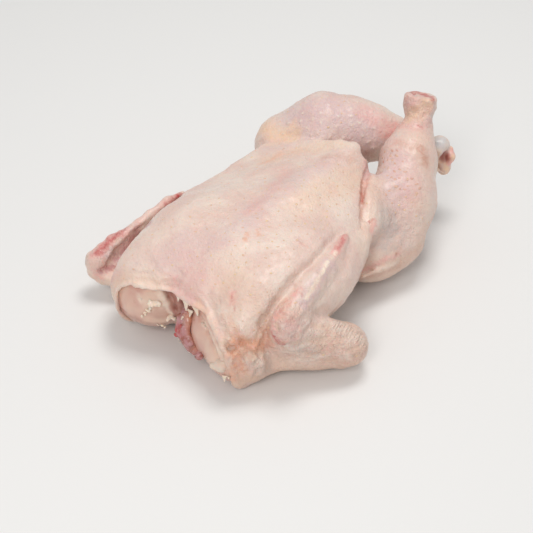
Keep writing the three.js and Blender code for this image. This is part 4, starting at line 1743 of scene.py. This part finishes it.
class Domes(Bumps):
    """Sets small domes on a surface."""

    def shaped(self, nodes, given):
        where = nodes.add("GeometryNodeInputNamedAttribute", {"Name": "where"}, data_type="FLOAT")
        spread = self.spots(nodes, given, where)
        inputs = {"Segments": DOME_SEGMENTS, "Rings": DOME_RINGS, "Radius": 1.0}
        dome = nodes.add("GeometryNodeMeshUVSphere", inputs)
        smooth = nodes.add("GeometryNodeSetShadeSmooth", {0: dome})
        inputs = {"X": given.of("Radius"), "Y": given.of("Radius"), "Z": given.of("Height")}
        flat = nodes.add("ShaderNodeCombineXYZ", inputs)
        inputs = {"Min": DOME_LEAST, "Max": DOME_MOST, "Seed": DOME_SEED}
        vary = nodes.add("FunctionNodeRandomValue", inputs, data_type="FLOAT_VECTOR")
        size = nodes.add("ShaderNodeVectorMath", {0: flat, 1: vary}, operation="MULTIPLY")
        inputs = {"Points": spread, "Instance": smooth, "Rotation": spread.of("Rotation"), "Scale": size}
        return nodes.add("GeometryNodeInstanceOnPoints", inputs)

    def piece(self, name, skin, where, sizes):
        """A piece of domes on the skin, where the share given for each vertex says."""
        carrier = bpy.data.objects.new(name + "_carrier", skin.data.copy())
        bpy.context.scene.collection.objects.link(carrier)
        layer = carrier.data.attributes.new("where", "FLOAT", "POINT")
        layer.data.foreach_set("value", np.asarray(where, np.float32))
        mesh = self.mesh_on(carrier, sizes)
        mesh.name = name
        old = carrier.data
        bpy.data.objects.remove(carrier)
        bpy.data.meshes.remove(old)
        return placed(name, mesh)


class Goosebumps(Bumps):
    """Raises soft bumps on the skin, and keeps how far each vertex is raised."""

    def shaped(self, nodes, given):
        raised = nodes.add("GeometryNodeInputNamedAttribute", {"Name": "raise"}, data_type="FLOAT")
        spread = self.spots(nodes, given, (raised * 4).maths("MINIMUM", 1.0))
        gap = nodes.add("GeometryNodeProximity", {0: spread}, "Distance", target_element="POINTS")
        bump = (1 - gap.between(0.0, given.of("Radius"))) * raised
        inputs = {"Geometry": given, "Name": "goose", "Value": bump}
        kept = nodes.add("GeometryNodeStoreNamedAttribute", inputs, data_type="FLOAT", domain="POINT")
        out = nodes.add("GeometryNodeInputNormal")
        inputs = {0: out, "Scale": bump * given.of("Height")}
        offset = nodes.add("ShaderNodeVectorMath", inputs, operation="SCALE")
        return nodes.add("GeometryNodeSetPosition", {"Geometry": kept, "Offset": offset})

    def raise_on(self, piece):
        """Replaces the piece's mesh by the one with the bumps."""
        given = settings()
        sizes = {
            "Radius": given.bump_radius,
            "Height": given.bump_height,
            "Spacing": given.bump_spacing,
            "Density": BUMP_DENSITY / given.bump_spacing**2,
            "Seed": BUMP_SEED,
        }
        mesh = self.mesh_on(piece, sizes)
        old = piece.data
        piece.data = mesh
        bpy.data.meshes.remove(old)
        mesh.name = piece.name


BUMP_DENSITY = 1.3
BUMP_SEED = 9
# Fields of bumps: marks, reach and amount.
PORE_FIELDS = (
    (((130, 260), (200, 220), (270, 160)), 34, 0.4),
    (((230, 260), (290, 220), (320, 180)), 40, 1.0),
    (((250, 310), (270, 290)), 25, 0.8),
    (((400, 200), (414, 215)), 22, 0.4),
    (((330, 330), (350, 345)), 20, 0.3),
    (((300, 110), (340, 115)), 26, 0.3),
)
FOLLICLE_FIELDS = ((((387, 160), (398, 178), (396, 190)), 13, 1.0), (((415, 175), (418, 190)), 8, 0.4))
GOOSE_FIELDS = (
    (((300, 115), (330, 118), (370, 128)), 32, 1.0),
    (((-60, 100, 30), (-30, 135, 40)), 26, 0.7),
    (((60, 20, 40), (50, 60, 20)), 26, 0.3),
    (((-60, 20, 30), (-50, 60, 30)), 40, 0.4),
    (((150, 240), (200, 210), (280, 160)), 40, 0.35),
    (((230, 260), (290, 220), (320, 180)), 40, 0.3),
    (((230, 310), (270, 290), (300, 250)), 22, 0.3),
    (((400, 150), (410, 180), (400, 200)), 24, 0.35),
    (((415, 215), (405, 245)), 20, 0.3),
    (((325, 335), (350, 350)), 18, 0.35),
)
RESTS_BELOW = 2
BACK_FIELDS = ((((-60, 20, 20), (-40, 60, 20)), 30, 0.4), (((60, 20, 20), (50, 60, 10)), 30, 0.4))


def spread_of(vertices, fields):
    """How thickly bumps are set at every vertex, with none where the bird rests."""
    where = np.zeros(len(vertices))
    for marks, reach, amount in fields:
        line, _ = DRESSED.places(marks)
        where = np.maximum(where, amount * nearness(gap_to_line(vertices, line), reach, 1.6))
    return where * (vertices[:, 2] > RESTS_BELOW)


def vertices_of(skin):
    """The vertices of the skin in millimetres from the middle of the back."""
    places = np.empty(len(skin.data.vertices) * 3)
    skin.data.vertices.foreach_get("co", places)
    return places.reshape(-1, 3) / MM - OFFSET


PORES = {"radius": 1.0, "height": 0.2, "spacing": 1.0, "density": 1.3, "seed": 5}
FOLLICLES = {"radius": 1.5, "height": 0.15, "spacing": 0.6, "density": 2.0, "seed": 15}


def domes_on_skin(name, finish, fields, radius, height, spacing, density, seed):
    """A piece of domes on the skin, sized in shares of a pore's radius and spacing."""
    given = settings()
    sizes = {
        "Radius": given.pore_radius * radius,
        "Height": given.pore_radius * height,
        "Spacing": given.pore_spacing * spacing,
        "Density": density / given.pore_spacing**2,
        "Seed": seed,
    }
    skin = bpy.data.objects["skin"]
    domes = Domes(finish, "Domes", wet_finish(finish))
    return domes.piece(name, skin, spread_of(vertices_of(skin), fields), sizes)


def build_pores():
    """The pores of the breast, the legs and the back."""
    return domes_on_skin("pores", "pores", PORE_FIELDS + BACK_FIELDS, **PORES)


def build_follicles():
    """The larger reddish follicles of the near shin."""
    return domes_on_skin("shin_follicles", "follicles", FOLLICLE_FIELDS, **FOLLICLES)


# ---------------------------------------------------------------- stage


WORLD_STRENGTH = 0.48
LAMPS = (  # name, place, width, power and colour
    ("overhead", (-0.05, 0.25, 1.3), 0.5, 7.2, (1.0, 0.99, 0.97)),
    ("front", (0.4, -0.95, 0.95), 0.5, 5.4, (1.0, 0.985, 0.97)),
)
LAMPS_AIM = (0, 0, 0.04)
FLOOR_HALF = 3.0
FLOOR_DROP = 0.2 * MM
FLOOR_ROUGHNESS = 0.9


def set_floor(scene):
    """A pale floor just under the bird."""
    corners = [(-1, -1), (1, -1), (1, 1), (-1, 1)]
    places = [(x * FLOOR_HALF, y * FLOOR_HALF, -FLOOR_DROP) for x, y in corners]
    mesh = bpy.data.meshes.new("floor")
    mesh.from_pydata(places, [], [(0, 1, 2, 3)])
    finish = bpy.data.materials.new("floor")
    finish.use_nodes = True
    shader = finish.node_tree.nodes["Principled BSDF"]
    shader.inputs["Base Color"].default_value = rgba(settings().colours.floor)
    shader.inputs["Roughness"].default_value = FLOOR_ROUGHNESS
    mesh.materials.append(finish)
    floor = bpy.data.objects.new("floor", mesh)
    scene.collection.objects.link(floor)


def set_lights(scene):
    """A white studio with two wide lamps."""
    world = bpy.data.worlds.new("studio")
    world.use_nodes = True
    sky = world.node_tree.nodes["Background"]
    sky.inputs["Color"].default_value = (1.0, 1.0, 1.0, 1.0)
    sky.inputs["Strength"].default_value = WORLD_STRENGTH
    scene.world = world
    for name, place, width, power, warmth in LAMPS:
        light = bpy.data.lights.new(name, "AREA")
        light.size = width
        light.energy = power
        light.color = warmth
        lamp = bpy.data.objects.new(name, light)
        way = Vector(place) - Vector(LAMPS_AIM)
        turn = way.to_track_quat("Z", "Y").to_matrix().to_4x4()
        lamp.matrix_world = Matrix.Translation(place) @ turn
        scene.collection.objects.link(lamp)
    scene.view_settings.view_transform = "Standard"


def set_camera(scene):
    """The camera, at the view that the marks are sighted from."""
    camera = bpy.data.cameras.new("camera")
    camera.sensor_width = SENSOR
    camera.lens = VIEW_FOCAL_PIXELS / FRAME_PIXELS * SENSOR
    middle = FRAME_PIXELS / 2
    camera.shift_x = (middle - VIEW_CENTRE[0]) / FRAME_PIXELS
    camera.shift_y = (VIEW_CENTRE[1] - middle) / FRAME_PIXELS
    view = bpy.data.objects.new("camera", camera)
    turn = Matrix(np.array([SIGHT.right, SIGHT.up, SIGHT.back]).T.tolist()).to_4x4()
    view.matrix_world = Matrix.Translation(((SIGHT.eye + OFFSET) * MM).tolist()) @ turn
    scene.collection.objects.link(view)
    scene.camera = view


# ---------------------------------------------------------------- the add-on


def length(name, description, default):
    return FloatProperty(name=name, description=description, default=default, min=0, unit="LENGTH")


def colour(name, description, default):
    return FloatVectorProperty(
        name=name, description=description, default=default, size=3, min=0, max=1, subtype="COLOR"
    )


class ChickenColours(bpy.types.PropertyGroup):
    skin: colour("Skin", "Skin over most of the bird", (0.765, 0.565, 0.49))
    # Pale skin is also the painted highlight on wrinkle crests.
    skin_pale: colour("Pale skin", "Paler mottling of the skin", (0.83, 0.69, 0.60))
    blush: colour("Blush", "Pink patches of the skin", (0.80, 0.42, 0.38))
    lilac: colour("Lilac", "Thin skin over dark meat", (0.66, 0.47, 0.49))
    fat: colour("Fat", "Skin over yellow fat", (0.86, 0.60, 0.42))
    grey: colour("Grey", "Bluish grey patches", (0.50, 0.44, 0.42))
    # Brown is brownish patches, and also painted shade in the crease beside the apron and along the thigh's
    # lower edge.
    brown: colour("Brown", "Brownish patches", (0.56, 0.28, 0.20))
    orange: colour("Orange fat", "Lumps of orange fat under thin skin", (0.78, 0.38, 0.24))
    # Painted shade in the folds of the far wing and on the flap beside the apron, over their mauve skin.
    mauve_fold_shade: colour("Mauve", "Skin in the folds of the far wing", (0.55, 0.28, 0.27))
    # Tan is the warmer skin of the wings and sides, and also the painted warm reflection and shade low on the
    # bird and in wrinkle valleys.
    tan: colour("Tan", "Warmer skin of the wings and sides", (0.74, 0.50, 0.37))
    blood: colour("Blood", "Red ends and bruises", (0.50, 0.06, 0.06))
    meat: colour("Meat", "Breast meat", (0.66, 0.37, 0.30))
    meat_pale: colour("Pale meat", "Paler breast meat", (0.79, 0.56, 0.44))
    # Deep meat is the darker meat inside, and also the painted shade of the meat's recess and low parts.
    meat_deep: colour("Deep meat", "Darker meat inside", (0.37, 0.13, 0.10))
    neck: colour("Neck", "Purple pink neck stump", (0.52, 0.25, 0.26))
    cartilage: colour("Cartilage", "Cream cartilage and tendon", (0.77, 0.63, 0.52))
    # The scrap colour also paints the highlights on the near wing's tip.
    scrap: colour("Scraps", "White scraps of fat", (0.90, 0.75, 0.62))
    knuckle: colour("Knuckle", "Grey white knuckle", (0.62, 0.60, 0.60))
    hollow: colour("Hollow", "Dark hollow of the knuckle", (0.40, 0.12, 0.10))
    pore: colour("Pores", "Yellow orange pores", (0.84, 0.57, 0.34))
    pore_dark: colour("Dark pores", "Browner pores", (0.80, 0.50, 0.36))
    follicle: colour("Follicles", "Orange brown follicles of the shin", (0.72, 0.39, 0.31))
    floor: colour("Floor", "Pale floor", (0.82, 0.815, 0.805))


class ChickenSettings(bpy.types.PropertyGroup):
    skin_cell: length("Skin cell", "Cell that the skin is sampled on", 1.0 * MM)
    skin_thickness: length("Skin thickness", "How far the meat lies under the skin", 2.0 * MM)
    rim: length("Rim", "Radius of the rolled rim of the neck skin", 1.5 * MM)
    pore_radius: length("Pore radius", "Radius of a pore", 0.75 * MM)
    pore_spacing: length("Pore spacing", "Least distance between pores", 5.0 * MM)
    bump_radius: length("Goosebump radius", "Radius of a goosebump", 1.9 * MM)
    bump_height: length("Goosebump height", "Height of the tallest goosebumps", 0.85 * MM)
    bump_spacing: length("Goosebump spacing", "Least distance between goosebumps", 6.0 * MM)
    colours: PointerProperty(type=ChickenColours, name="Colours", description="Colours of the bird")


class MakeSkin(bpy.types.Operator):
    """Make the skin of the whole bird, with its folds, creases and open front"""

    bl_idname = "chicken.skin"
    bl_label = "Skin"

    def execute(self, context):
        build_skin()
        build_pleats()
        return {"FINISHED"}


class MakeMeat(bpy.types.Operator):
    """Make the breast meat that shows in the open front"""

    bl_idname = "chicken.meat"
    bl_label = "Breast meat"

    def execute(self, context):
        build_meat()
        return {"FINISHED"}


class MakeNeck(bpy.types.Operator):
    """Make the neck stump, the cartilage and the blood spots beside it"""

    bl_idname = "chicken.neck"
    bl_label = "Neck stump and cartilage"

    def execute(self, context):
        build_neck()
        build_cartilage()
        build_blood()
        return {"FINISHED"}


class MakeScraps(bpy.types.Operator):
    """Make the torn tags of skin and the shreds of fat round the open front"""

    bl_idname = "chicken.scraps"
    bl_label = "Skin tags and fat shreds"

    def execute(self, context):
        build_tags()
        build_shreds()
        return {"FINISHED"}


class MakeJoint(bpy.types.Operator):
    """Make the bare knuckle at the end of the far leg"""

    bl_idname = "chicken.joint"
    bl_label = "Far leg knuckle"

    def execute(self, context):
        build_shank_joint()
        return {"FINISHED"}


class MakePores(bpy.types.Operator):
    """Set pores on the skin and follicles on the near shin"""

    bl_idname = "chicken.pores"
    bl_label = "Pores and follicles"

    def execute(self, context):
        build_pores()
        build_follicles()
        return {"FINISHED"}


class MakeStage(bpy.types.Operator):
    """Set the floor, the lights and the camera"""

    bl_idname = "chicken.stage"
    bl_label = "Stage"

    def execute(self, context):
        set_floor(context.scene)
        set_lights(context.scene)
        set_camera(context.scene)
        return {"FINISHED"}


STEPS = (MakeSkin, MakeMeat, MakeNeck, MakeScraps, MakeJoint, MakePores, MakeStage)


class ChickenPanel(bpy.types.Panel):
    """Lists the steps that dress the bird"""

    bl_idname = "VIEW3D_PT_chicken"
    bl_label = "Whole raw chicken"
    bl_space_type = "VIEW_3D"
    bl_region_type = "UI"
    bl_category = "Chicken"

    def draw(self, context):
        for step in STEPS:
            self.layout.operator(step.bl_idname)


CLASSES = (ChickenColours, ChickenSettings, *STEPS, ChickenPanel)


def register():
    for each in CLASSES:
        bpy.utils.register_class(each)
    bpy.types.Scene.chicken = PointerProperty(type=ChickenSettings)


def unregister():
    del bpy.types.Scene.chicken
    for each in reversed(CLASSES):
        bpy.utils.unregister_class(each)


def main():
    register()
    for step in STEPS:
        group, name = step.bl_idname.split(".")
        getattr(getattr(bpy.ops, group), name)()


if __name__ == "__main__":
    main()
